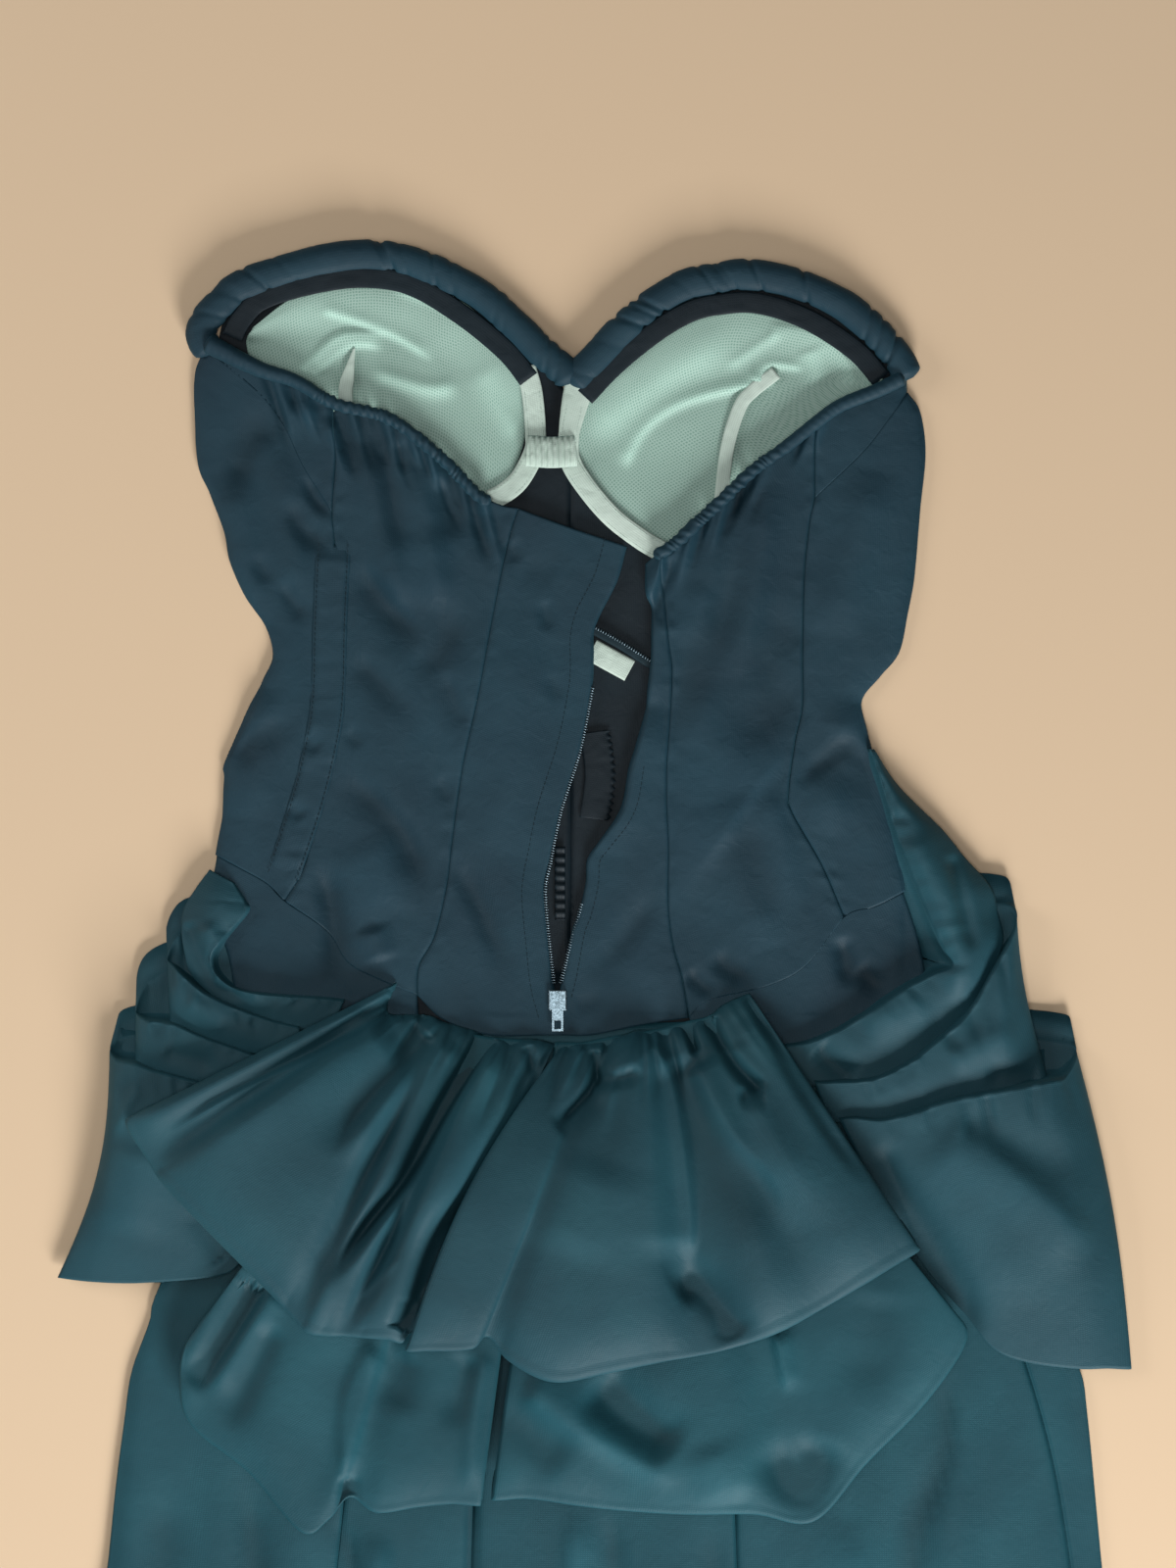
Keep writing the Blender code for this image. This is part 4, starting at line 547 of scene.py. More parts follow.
def netCloth(name):
    # stiff nylon net: round cells about 1.1 mm across, drawn at 1.7 mm so that they show
    material, tree, shader, coords = startMaterial(name, {"Roughness": 0.62, "Sheen Weight": 0.15})
    cells = addNode(tree, "ShaderNodeTexVoronoi", {"Vector": coords.outputs["UV"], "Scale": 590.0,
                    "Randomness": 0.25}, feature="DISTANCE_TO_EDGE", voronoi_dimensions="2D")
    ramp = addNode(tree, "ShaderNodeValToRGB", {"Fac": cells.outputs["Distance"]})
    ramp.color_ramp.elements[0].position = 0.08
    ramp.color_ramp.elements[0].color = linear("#9DB9AD")
    ramp.color_ramp.elements[1].position = 0.34
    ramp.color_ramp.elements[1].color = linear("#6F9486")
    cloud = addNode(tree, "ShaderNodeTexNoise", {"Vector": coords.outputs["Object"], "Scale": 22.0,
                                                 "Detail": 3.0})
    level = addNode(tree, "ShaderNodeMapRange", {"Value": cloud.outputs["Fac"], "To Min": 0.86,
                                                 "To Max": 1.14})
    fold = addNode(tree, "ShaderNodeAttribute", attribute_name="foldMark")
    raised = addNode(tree, "ShaderNodeMath", {0: fold.outputs["Fac"], 1: level.outputs[0]}, operation="ADD")
    mixed = addNode(tree, "ShaderNodeVectorMath", {0: ramp.outputs["Color"], 1: raised.outputs[0]},
                    operation="MULTIPLY")
    tree.links.new(mixed.outputs[0], shader.inputs["Base Color"])
    bump = addNode(tree, "ShaderNodeBump", {"Height": cells.outputs["Distance"], "Strength": 0.5,
                   "Distance": 0.0003}, invert=True)
    tree.links.new(bump.outputs[0], shader.inputs["Normal"])
    return material


def castMetal(name, base, roughness):
    # nickel-plated zip metal: dulled by handling, with fine scuffs
    material, tree, shader, coords = startMaterial(name, {"Metallic": 1.0})
    wear = addNode(tree, "ShaderNodeTexNoise", {"Vector": coords.outputs["Object"], "Scale": 900.0,
                                                "Detail": 4.0})
    ramp = addNode(tree, "ShaderNodeValToRGB", {"Fac": wear.outputs["Fac"]})
    ramp.color_ramp.elements[0].position = 0.3
    ramp.color_ramp.elements[0].color = linear("#5E6F76")
    ramp.color_ramp.elements[1].position = 0.65
    ramp.color_ramp.elements[1].color = linear(base)
    tree.links.new(ramp.outputs["Color"], shader.inputs["Base Color"])
    rough = addNode(tree, "ShaderNodeMapRange", {"Value": wear.outputs["Fac"], "To Min": roughness + 0.15,
                    "To Max": roughness - 0.08})
    tree.links.new(rough.outputs[0], shader.inputs["Roughness"])
    bump = addNode(tree, "ShaderNodeBump", {"Height": wear.outputs["Fac"], "Strength": 0.2,
                                            "Distance": 0.0001})
    tree.links.new(bump.outputs[0], shader.inputs["Normal"])
    return material


# thread spacings are real ones made coarser: taffeta has about 0.25 mm, too fine to show
# one taffeta in three tones: the tier and skirt copies are a little lighter than the bodice copy, which is
# painted light
bodiceTaffeta = wovenCloth("bodice_woven_taffeta", "#112B38", "#183744", "#214452", 1.1, 0.62, 0.14)
tierTaffeta = wovenCloth("tier_woven_taffeta", "#153943", "#1E4752", "#285660", 1.1, 0.60, 0.14, 0.3)
skirtTaffeta = wovenCloth("skirt_woven_taffeta", "#103A44", "#194A55", "#245B66", 1.1, 0.60, 0.14, 0.3)
liningTaffeta = wovenCloth("lining_woven_taffeta", "#06141B", "#0A1A22", "#0F242D", 1.1, 0.6, 0.04)
zipTape = wovenCloth("zip_woven_polyester_tape", "#0B1D26", "#12272F", "#1B343C", 0.9, 0.7, 0.1, 0.3)
cottonTape = wovenCloth("wire_woven_cotton_tape", "#AFC2B6", "#C6D8CC", "#DCEADF", 1.0, 0.85, 0.25, 0.6)
nylonNet = netCloth("cup_stiff_nylon_net")
thread = wovenCloth("sewing_spun_polyester_thread", "#0A1A22", "#0E222B", "#153039", 0.5, 0.6, 0.15, 0.3)
paleThread = wovenCloth("sewing_spun_cotton_thread", "#A7BDB0", "#C0D3C7", "#D8E8DD", 0.5, 0.8, 0.2, 0.3)
zipNickel = castMetal("zip_cast_nickel", "#8396A0", 0.36)
print("materials made")


# mesh helpers
def finishPiece(name, verts, faces, material, nodes, uv=None, mark=None, body="dress"):
    # puts arrays in millimetres into a mesh that sits at the origin and rides on a body
    mesh = bpy.data.meshes.new(name)
    mesh.from_pydata((verts * mm).tolist(), [], faces.tolist())
    mesh.shade_smooth()
    if uv is not None:
        layer = mesh.uv_layers.new(name="UVMap")
        layer.data.foreach_set("uv", (uv * mm)[faces.reshape(-1)].astype(np.float32).reshape(-1))
    if mark is not None:
        layer = mesh.attributes.new("foldMark", "FLOAT", "POINT")
        layer.data.foreach_set("value", mark.reshape(-1).astype(np.float32))
    thing = bpy.data.objects.new(name, mesh)
    bpy.context.scene.collection.objects.link(thing)
    mesh.materials.append(material)
    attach(thing, body)
    if nodes:
        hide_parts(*nodes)
    return thing


def gridFaces(rows, columns, wrap=False):
    # quads of a grid, closed across its columns when it wraps
    index = np.arange(rows * columns).reshape(rows, columns)
    if wrap:
        index = np.hstack([index, index[:, :1]])
    return np.stack([index[:-1, :-1], index[1:, :-1], index[1:, 1:], index[:-1, 1:]], axis=-1).reshape(-1, 4)


def clothSheet(name, grid, material, nodes, wall=0.5, mark=None):
    # a grid as a thin shell whose upper face stands on the points; texture lengths follow the cloth
    rows, columns = grid.shape[:2]
    faces = gridFaces(rows, columns)
    side = np.cross(grid[1:, :-1] - grid[:-1, :-1], grid[:-1, 1:] - grid[:-1, :-1])[..., 2].sum()
    if side < 0:
        faces = faces[:, ::-1]
    over = np.pad(np.linalg.norm(np.diff(grid, axis=1), axis=2), ((0, 0), (1, 0))).cumsum(axis=1)
    down = np.pad(np.linalg.norm(np.diff(grid, axis=0), axis=2), ((1, 0), (0, 0))).cumsum(axis=0)
    uv = np.stack([over, down], axis=-1).reshape(-1, 2)
    thing = finishPiece(name, grid.reshape(-1, 3), faces, material, nodes, uv, mark)
    shell = thing.modifiers.new("wall", "SOLIDIFY")
    shell.thickness = wall * mm
    shell.offset = -1.0
    plan = grid[..., :2]
    one, two = plan[1:, :-1] - plan[:-1, :-1], plan[:-1, 1:] - plan[:-1, :-1]
    thing["planArea"] = float(np.abs(one[..., 0] * two[..., 1] - one[..., 1] * two[..., 0]).sum() * 1e-6)
    thing["planSize"] = (float(np.linalg.norm(np.diff(plan, axis=1), axis=2).sum(axis=1).max() * mm),
                         float(np.linalg.norm(np.diff(plan, axis=0), axis=2).sum(axis=0).max() * mm))
    return thing


def turnUnder(grid, edge, low):
    # carries an edge round in a half circle, down to a low height, as cloth folds under at its side
    if edge in ("east", "west"):
        grid = grid.transpose(1, 0, 2)
    if edge in ("west", "north"):
        grid = grid[::-1]
    last, before = grid[-1], grid[-3]
    out = (last - before)[:, :2]
    out /= np.linalg.norm(out, axis=1)[:, None] + 1e-9
    radius = np.maximum((last[:, 2] - low) / 2, 0.15)
    rows = []
    for angle in np.radians([22, 45, 68, 90, 115, 145, 180]):
        reach = radius * math.sin(angle)
        rows.append(np.column_stack([last[:, :2] + out * reach[:, None], last[:, 2] - radius
                                     * (1 - math.cos(angle))]))
    rows.append(np.column_stack([last[:, :2] - out * 5, np.full(len(last), low)]))
    grid = np.concatenate([grid, np.stack(rows)])
    if edge in ("west", "north"):
        grid = grid[::-1]
    return grid.transpose(1, 0, 2) if edge in ("east", "west") else grid


# cloth cut for a piece, as times its plan: gathers and pleats take up what is over 1
fullness = {"bustle_upper": 1.3, "bustle_lower": 1.15, "swag": 1.25, "wing": 1.15, "back_middle": 1.05,
            "back_centre": 1.05, "skirt_back": 1.05}


def cutOf(thing, node):
    # cut size: plan width times fullness, plan length, and plan area times fullness
    extra = next((share for start, share in fullness.items() if node.startswith(start)), 1.0)
    width, length = thing["planSize"]
    width *= extra
    area = thing["planArea"] * extra
    return round(width, 3), round(length, 3), round(min(max(area, 0.31 * width * length), 0.99 * width
                                                        * length), 5)


# tapes and strips under 10 mm wide go with the cloth that they are sewn to
sewnTo = {"facing_left": "net_cup_left", "facing_right": "net_cup_right", "boning_tape_left": "net_cup_left",
          "boning_tape_right": "net_cup_right", "inner_zip": "front_left", "ruched_strip": "front_left",
          "zip_tape_left": "back_centre_left", "zip_tape_right": "back_centre_right"}
sheets = []


def declareSheet(thing, node, restsOn, held="laid"):
    # notes a sheet, whose cut is printed at the end, once every piece is made
    sheets.append((thing, node, restsOn, held))


def declareAll():
    # prints each sheet's cut, leaving out strips that are sewn to another sheet; the strips it gathers are
    # not used
    strips = {}
    for thing, node, restsOn, held in sheets:
        if node in sewnTo:
            strips.setdefault(sewnTo[node], []).append(thing)
    for thing, node, restsOn, held in sheets:
        if node not in sewnTo:
            width, length, area = cutOf(thing, node)
            print("sheet", node, width, length, area)
        del thing["planArea"], thing["planSize"]


def tubeGrid(path, spots, sides, radius, height, squash=1.0):
    # rings round a smooth path; radius is an array along the path and round it
    line = smoothPath(path, spots)
    run = np.gradient(line, axis=0)
    run /= np.linalg.norm(run, axis=1)[:, None]
    aside = np.stack([-run[:, 1], run[:, 0]], axis=1)
    angle = np.linspace(0, 2 * math.pi, sides, endpoint=False)
    flat = line[:, None] + aside[:, None] * (radius * np.cos(angle))[..., None]
    return np.dstack([flat, height + squash * radius * np.sin(angle)]), line


def closedTube(name, grid, material, nodes):
    # rings joined along and round, with a fan at either end
    rings, sides = grid.shape[:2]
    faces = gridFaces(rings, sides, True)
    along = np.pad(np.linalg.norm(np.diff(grid.mean(axis=1), axis=0), axis=1), (1, 0)).cumsum()
    girth = np.linspace(0, 44, sides)
    uv = np.stack(np.broadcast_arrays(girth[None], along[:, None]), axis=-1).reshape(-1, 2)
    verts = np.vstack([grid.reshape(-1, 3), grid[0].mean(axis=0), grid[-1].mean(axis=0)])
    uv = np.vstack([uv, [0, 0], [0, along[-1]]])
    ring = np.arange(sides)
    first = np.stack([np.full(sides, rings * sides), ring, (ring + 1) % sides], axis=1)
    base = (rings - 1) * sides
    last = np.stack([np.full(sides, rings * sides + 1), base + (ring + 1) % sides, base + ring], axis=1)
    caps = np.vstack([first, last])
    mesh = bpy.data.meshes.new(name)
    mesh.from_pydata((verts * mm).tolist(), [], faces.tolist() + caps.tolist())
    layer = mesh.uv_layers.new(name="UVMap")
    corners = np.concatenate([faces.reshape(-1), caps.reshape(-1)])
    layer.data.foreach_set("uv", (uv * mm)[corners].astype(np.float32).reshape(-1))
    bpy.context.view_layer.update()
    thing = bpy.data.objects.new(name, mesh)
    bpy.context.scene.collection.objects.link(thing)
    mesh.materials.append(material)
    work = bmesh.new()
    work.from_mesh(mesh)
    bmesh.ops.recalc_face_normals(work, faces=work.faces)
    work.to_mesh(mesh)
    work.free()
    mesh.shade_smooth()
    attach(thing, "dress")
    if nodes:
        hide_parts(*nodes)
    return thing


def ribbonGrid(path, width, top, crown=0.4, steps=60, across=9):
    # a flat strip along a path, a little higher along its middle; top gives the height at its points
    line = smoothPath(path, steps)
    run = np.gradient(line[:, :2], axis=0)
    run /= np.linalg.norm(run, axis=1)[:, None]
    aside = np.stack([-run[:, 1], run[:, 0]], axis=1)
    t = np.linspace(1, -1, across)
    flat = line[:, None, :2] + aside[:, None] * (t * width / 2)[None, :, None]
    base = top(flat[..., 0], flat[..., 1]) if callable(top) else line[:, None, 2] + 0 * flat[..., 0]
    return np.dstack([flat, base + crown * (1 - t ** 4)[None]])


def manyCopies(name, template, faces, places, runs, material, lifts=None):
    # one small shape set down at every place, turned to its run, as a single mesh
    run = runs / np.linalg.norm(runs, axis=1)[:, None]
    aside = np.stack([-run[:, 1], run[:, 0]], axis=1)
    flat = (template[None, :, :1] * run[:, None] + template[None, :, 1:2] * aside[:, None])
    verts = np.dstack([flat, np.broadcast_to(template[None, :, 2], flat.shape[:2])]) + places[:, None]
    allFaces = faces[None] + (np.arange(len(places)) * len(template))[:, None, None]
    return finishPiece(name, verts.reshape(-1, 3), allFaces.reshape(-1, faces.shape[1]), material, [],
                       uv=verts.reshape(-1, 3)[:, :2])


def pill(length, width, height):
    # a small rounded bar: four rings of four corners, closed at both ends
    x = np.array([-0.5, -0.3, 0.3, 0.5]) * length
    size = np.array([0.35, 1, 1, 0.35])
    ring = np.array([(1, 0), (0, 1), (-1, 0), (0, -1)]) / 2
    verts = np.array([(x[k], ring[j, 0] * width * size[k], ring[j, 1] * height * size[k])
                      for k in range(4) for j in range(4)])
    faces = gridFaces(4, 4, True)[:, ::-1]
    return verts, np.vstack([faces, [[0, 1, 2, 3]], [[15, 14, 13, 12]]])


def stitchRow(name, path, top, pitch=3.0, material=None):
    # a machine row: bars 2.2 mm long with gaps between, lying on the cloth
    length = np.linalg.norm(np.diff(smoothPath(path, 40), axis=0), axis=1).sum()
    line = smoothPath(path, int(length / pitch))
    run = np.gradient(line, axis=0)
    height = top(line[:, 0], line[:, 1]) if callable(top) else np.full(len(line), top)
    verts, faces = pill(pitch * 0.74, 0.42, 0.4)
    return manyCopies(name, verts, faces, np.column_stack([line, height + 0.08]), run, material or thread)


def offsetPath(path, shift):
    # the path moved sideways, to the left of its run when shift is positive
    line = smoothPath(path, 24)
    run = np.gradient(line, axis=0)
    run /= np.linalg.norm(run, axis=1)[:, None]
    return line + np.stack([-run[:, 1], run[:, 0]], axis=1) * shift


# camera straight above, lights and floor
camera = bpy.data.objects.new("camera", bpy.data.cameras.new("camera"))
camera.data.sensor_fit = "VERTICAL"
camera.data.sensor_height = 36
camera.data.lens = 160.7
camera.data.clip_end = 50
camera.location = (0, 0.340, 4.02)
bpy.context.scene.collection.objects.link(camera)
bpy.context.scene.camera = camera

studio = dict(main=(0.75, -2.2, 1.15, 112, 1.0), fill=(-0.2, 0.2, 4.6, 56, 1.6),
              rim=(-1.9, 0.7, 1.1, 14, 1.0))
for name, (x, y, z, power, size) in studio.items():
    lamp = bpy.data.lights.new(name, "AREA")
    lamp.energy = power
    lamp.size = size
    light = bpy.data.objects.new(name, lamp)
    light.location = (x, y, z)
    light.rotation_euler = (Vector((0, 0.25, 0)) - light.location).to_track_quat("-Z", "Y").to_euler()
    bpy.context.scene.collection.objects.link(light)
world = bpy.data.worlds.new("studio")
world.use_nodes = True
world.node_tree.nodes["Background"].inputs["Color"].default_value = linear("#E9EEF0")
world.node_tree.nodes["Background"].inputs["Strength"].default_value = 0.1
bpy.context.scene.world = world
bpy.context.scene.view_settings.view_transform = "Standard"

floorMesh = bpy.data.meshes.new("floor")
floorMesh.from_pydata([(-3, -3, -0.0004), (3, -3, -0.0004), (3, 3, -0.0004), (-3, 3, -0.0004)], [],
                      [(0, 1, 2, 3)])
floor = bpy.data.objects.new("floor", floorMesh)
bpy.context.scene.collection.objects.link(floor)
floorPaint, _, floorShader, _ = startMaterial("floor_matt_paint", {"Roughness": 0.9})
floorShader.inputs["Base Color"].default_value = linear("#D9BE9E")
floorMesh.materials.append(floorPaint)
print("stage set")


# back panels
def backPanel(node, west, east, north, south, down, over, turns=(), material=bodiceTaffeta,
              rest="front_left"):
    # patch between its seams; the cloth dips into each seam and puckers a little beside it
    v, u = crowded(down), crowded(over)
    flat = patch(smoothPath(west, v), smoothPath(east, v), smoothPath(north, u), smoothPath(south, u), v, u)
    x, y = flat[..., 0], flat[..., 1]
    z = bodiceTop(x, y)
    span = np.pad(np.linalg.norm(np.diff(flat, axis=1), axis=2), ((0, 0), (1, 0))).cumsum(axis=1)
    for gap, edge in ((span, "west"), (span[:, -1:] - span, "east")):
        if edge in turns:
            continue
        pucker = 0.5 * softNoise(y, x * 0.2, 5.5, 31)
        z = (z - bodiceLook["seamDepth"] * np.exp(-(gap / bodiceLook["seamWidth"]) ** 2)
             + pucker * np.exp(-((gap - 4) / 3.5) ** 2))
    grid = np.dstack([flat, z])
    for edge in turns:
        grid = turnUnder(grid, edge, 1.7)
    # foldMark is the crease height; the taffeta turns it into painted shade in creases and painted highlight
    # on crests
    mark = np.clip(creaseLift(grid[..., 0], grid[..., 1], bodiceCreases) / 3.6, -1, 1)
    piece = clothSheet(node + "_cloth", grid, material, [node], mark=mark)
    declareSheet(piece, node, [rest])
    return piece


backPanel("back_underarm_left", [(-219, 590), (-218, 588)], cut["boxTop"],
          [(-219, 590), (-190, 578), (-168, 571), (-146, 558)], cut["underarmLeft"], 30, 44)
backPanel("back_side_left", cut["leftSide"], cut["box"], cut["underarmLeft"], cut["basqueSideLeft"],
          130, 40, ("west",))
backPanel("back_middle_left", cut["boxTop"] + cut["box"][1:], cut["princessLeft"],
          [(-146, 558), (-119, 551), (-102, 541), (-81, 523), (-66, 508), (-50, 500), (-40, 498)],
          cut["basqueMiddleLeft"], 150, 66)
backPanel("back_centre_left", cut["princessLeft"], cut["openingLeft"], [(-40, 498), (-10, 487), (20, 477)],
          [(-98, 219), (-83, 205), (-57, 196), (-18, 196)], 130, 44, ("east",))
backPanel("back_centre_right", cut["openingRight"], cut["princessRight"], [(35, 468), (42, 474)],
          [(-17, 196), (2, 196), (32, 202), (58, 206)], 130, 36, ("west",))
backPanel("back_middle_right", cut["princessRight"], cut["sideTop"] + cut["side"][1:],
          [(42, 474), (52, 481), (66, 491), (80, 504), (97, 522), (114, 536), (131, 548)],
          cut["basqueMiddleRight"], 150, 56, rest="front_right")
backPanel("back_side_right", cut["side"], cut["rightSide"], cut["underarmRight"], cut["basqueSideRight"],
          120, 40, ("east",), rest="front_right")
backPanel("back_underarm_right", cut["sideTop"], [(183, 572), (183, 564)],
          [(131, 548), (146, 558), (168, 567), (183, 573)], cut["underarmRight"], 26, 36, rest="front_right")
backPanel("yoke_left", [(-213, 299), (-216, 270), (-205, 235), (-200, 184)], [(-98, 219), (-97, 205)],
          cut["basqueSideLeft"] + cut["basqueMiddleLeft"][1:], [(-200, 184), (-150, 190), (-97, 205)],
          56, 70, rest="front_skirt")
backPanel("yoke_right", [(58, 206), (60, 198)], [(181, 278), (192, 240), (198, 184)],
          cut["basqueMiddleRight"] + cut["basqueSideRight"][1:], [(60, 198), (120, 190), (198, 184)],
          56, 70, rest="front_skirt")
channelPath = [(-146, 477), (-148, 433), (-149, 393), (-152, 368), (-161, 330), (-175, 288)]


def channelTop(x, y):
    # the boned channel stands on the back, pinched unevenly between its two rows
    return bodiceTop(x, y) + 0.1 + 0.3 * softNoise(x * 0.3, y, 4.5, 41)


channelGrid = ribbonGrid(channelPath, 20, channelTop, 0, 130, 21)
across = np.abs(np.linspace(-1, 1, 21))[None]
ends = np.clip(np.minimum(np.linspace(0, 1, 131), np.linspace(1, 0, 131)) / 0.05, 0, 1)[:, None]
channelGrid[..., 2] += 1.3 * ends * (1 - across ** 6) - 0.5 * np.exp(-((across
        - 0.84) / 0.06) ** 2) - 0.5 * (1 - ends)
channel = clothSheet("boning_channel_left_cloth", channelGrid, bodiceTaffeta, ["boning_channel_left"])
declareSheet(channel, "boning_channel_left", ["back_side_left_cloth"])
print("bodice made")


# fronts, face down
fronts = {
    "front_left": ([(-214, 588), (-221, 549), (-219, 522), (-202, 480), (-181, 429), (-177, 412),
                    (-203, 352), (-205, 230)], [(-10, 562), (-10, 400), (-10, 230)],
                   [(-214, 588), (-203, 617), (-162, 635), (-113, 639), (-67, 620), (-32, 589), (-10, 562)],
                   [(-205, 230), (-10, 230)]),
    "front_right": ([(-10, 562), (-10, 400), (-10, 230)],
                    [(180, 570), (187, 548), (187, 500), (179, 438), (163, 401), (152, 384),
                     (165, 330), (188, 230)],
                    [(-10, 562), (22, 599), (57, 622), (92, 629), (130, 618), (161, 598), (180, 570)],
                    [(-10, 230), (188, 230)]),
    "front_skirt": ([(-205, 230), (-193, 186), (-209, 120), (-243, 50), (-258, 3), (-271, -108),
                     (-294, -250),
                     (-359, -647)],
                    [(188, 230), (193, 186), (219, 110), (259, 40), (278, 5), (291, -108), (309, -250),
                     (359, -647)],
                    [(-205, 230), (188, 230)], [(-359, -647), (359, -647)]),
}
for node, (west, east, north, south) in fronts.items():
    v, u = np.linspace(0, 1, 71), np.linspace(0, 1, 51)
    flat = patch(smoothPath(west, v), smoothPath(east, v), smoothPath(north, u), smoothPath(south, u), v, u)
    grid = np.dstack([flat, 1.1 + 0 * flat[..., 0]])
    piece = clothSheet(node + "_cloth", grid, liningTaffeta, [node], wall=1.1)
    declareSheet(piece, node, [])

# skirt
seams = {
    "skirt_back_1": [(-130, 190), (-132, 60), (-140, -70), (-162, -260), (-205, -650)],
    "skirt_back_2": [(-62, 200), (-64, 60), (-66, -70), (-72, -260), (-82, -650)],
    "skirt_back_3": [(70, 204), (78, 60), (84, -70), (90, -260), (100, -650)],
    "skirt_back_4": [(180, 190), (251, 8), (277, -108), (288, -250), (318, -650)],
    "skirt_back_5": cut["skirtRight"],
}
v = np.linspace(0, 1, 121)
v = 0.72 * v + 0.28 * v ** 2
west = smoothPath(cut["skirtLeft"], v)
for node, seam in seams.items():
    u = crowded(40)
    east = smoothPath(seam, v)
    flat = patch(west, east, smoothPath([west[0], east[0]], u), smoothPath([west[-1], east[-1]], u), v, u)
    z = skirtTop(flat[..., 0], flat[..., 1])
    span = np.pad(np.linalg.norm(np.diff(flat, axis=1), axis=2), ((0, 0), (1, 0))).cumsum(axis=1)
    for gap, skip in ((span, node == "skirt_back_1"), (span[:, -1:] - span, node == "skirt_back_5")):
        if not skip:
            z = z - 1.1 * np.exp(-(gap / 1.6) ** 2)
    grid = np.dstack([flat, np.maximum(z, 1.75)])
    if node == "skirt_back_1":
        grid = turnUnder(grid, "west", 1.5)
    if node == "skirt_back_5":
        grid = turnUnder(grid, "east", 1.5)
    # foldMark is the crease height; the taffeta turns it into painted shade in creases and painted highlight
    # on crests
    mark = np.clip(creaseLift(grid[..., 0], grid[..., 1], skirtCreases) / 3.4, -1, 1)
    piece = clothSheet(node + "_cloth", grid, skirtTaffeta, [node], 0.4, mark)
    declareSheet(piece, node, ["front_skirt_cloth"])
    west = east
print("skirt made")


# draped pieces
def drapeGrid(ribs, columns, stations, creases, gather, reach, wave, upper, seed):
    # ribs blended through the table: out of the head, over the puff, round the hem and back beneath
    table = smoothPath(ribs, columns)
    head, hem = table[:, 0:2], table[:, 3:5]
    length = np.linalg.norm(hem - head, axis=1)[:, None]
    ahead = (hem - head) / length
    aside = np.stack([ahead[:, 1], -ahead[:, 0]], axis=1)
    hasRoll = max(rib[8] for rib in ribs) > 0
    radius = (table[:, 5] - table[:, 8])[:, None] / 2 if hasRoll else 0 * length
    s = crowded(stations)[:, None, None]
    flat = head + ahead * (length - radius) * s + aside * table[:, 7:8] * np.sin(math.pi * s)
    t = s[..., 0]
    rise = table[:, 2] + (table[:, 5] - table[:, 2]) * t + table[:, 6] * np.sin(math.pi * t)
    if gather:
        creases = creases + gatherCreases(head, hem, 4.2, gather, 2.4, reach, seed)
    lift = creaseLift(flat[..., 0], flat[..., 1], creases)
    lift = lift + wave * softNoise(flat[..., 0], flat[..., 1], 34, seed) * np.sin(math.pi * t)
    lift = lift + 0.12 * wave * softNoise(flat[..., 0], flat[..., 1], 12, seed + 1) * np.clip(8 * t, 0, 1)
    order = np.linspace(0, 1, columns + 1)
    edge = np.clip(order * (len(ribs) - 1), 0, 1) * np.clip((1 - order) * (len(ribs) - 1), 0, 1)
    lift = np.clip(lift, -13, 8) * edge
    if hasRoll:          # the cloth rounds over towards its hem
        near = np.clip((t * length[:, 0] - length[:, 0] + 30) / 30, 0, 1)
        rise = rise - np.minimum(table[:, 5] - table[:, 8] - 2, 7.5) * 0.75 * near ** 2.2
        rise = np.maximum(rise + lift, 6 + (table[:, 8] - 4.5) * t) - lift
    if upper:   # the head drops into its seam
        rise = rise - (table[:, 2] - 6.2) * np.exp(-t * length[:, 0] / 3.2)
    rows = [np.dstack([flat, rise + lift + 1.2])]
    if not hasRoll:      # the head turns down and back inside, so that the pleat is closed
        base = np.minimum(table[:, 2], 3.2)
        for share, back in ((0.25, 1.2), (0.7, 2.0), (1.0, 6.0), (1.0, 18.0)):
            z = table[:, 2] + 1.2 + (base - table[:, 2] - 1.2) * share
            rows.insert(0, np.column_stack([head - ahead * back, z])[None])
    if hasRoll:
        wall = radius[:, 0] + 0.6
        top = rise[-1] + lift[-1] * 0.6 + 1.2
        low = table[:, 8]
        for angle in np.radians([20, 40, 60, 80, 100, 120, 145, 180]):
            out = flat[-1] + ahead * (wall * math.sin(angle))[:, None]
            z = low + (top - low) * (1 + math.cos(angle)) / 2
            rows.append(np.column_stack([out, z])[None])
        for back in (5, 10, 14):
            rows.append(np.column_stack([flat[-1] - ahead * back, low])[None])
    grid = np.concatenate(rows)
    # the crease lift, carried onto the added rows, becomes foldMark: painted shade in creases and painted
    # highlight on crests
    extra = len(grid) - len(lift)
    first = extra if not hasRoll else 0
    mark = np.vstack([np.tile(lift[:1], (first, 1)), lift, np.tile(lift[-1:], (extra - first, 1))])
    return grid, np.clip(mark / 6.5, -1, 1)


for number, (node, drape) in enumerate(drapes.items()):
    looks = next(value for key, value in drapeLooks.items() if node.startswith(key))
    grid, mark = drapeGrid(drape["ribs"], looks["columns"], looks["stations"], drape["creases"],
                           looks["gather"],
                     looks["reach"], looks["wave"], "upper" in node, 50 + number)
    colour = skirtTaffeta if "lower" in node else tierTaffeta
    piece = clothSheet(node + "_cloth", grid, colour, [node], mark=mark)
    declareSheet(piece, node, ["skirt_back_3_cloth"], "gathered" if "bustle" in node else "folded")
print("drapes made")


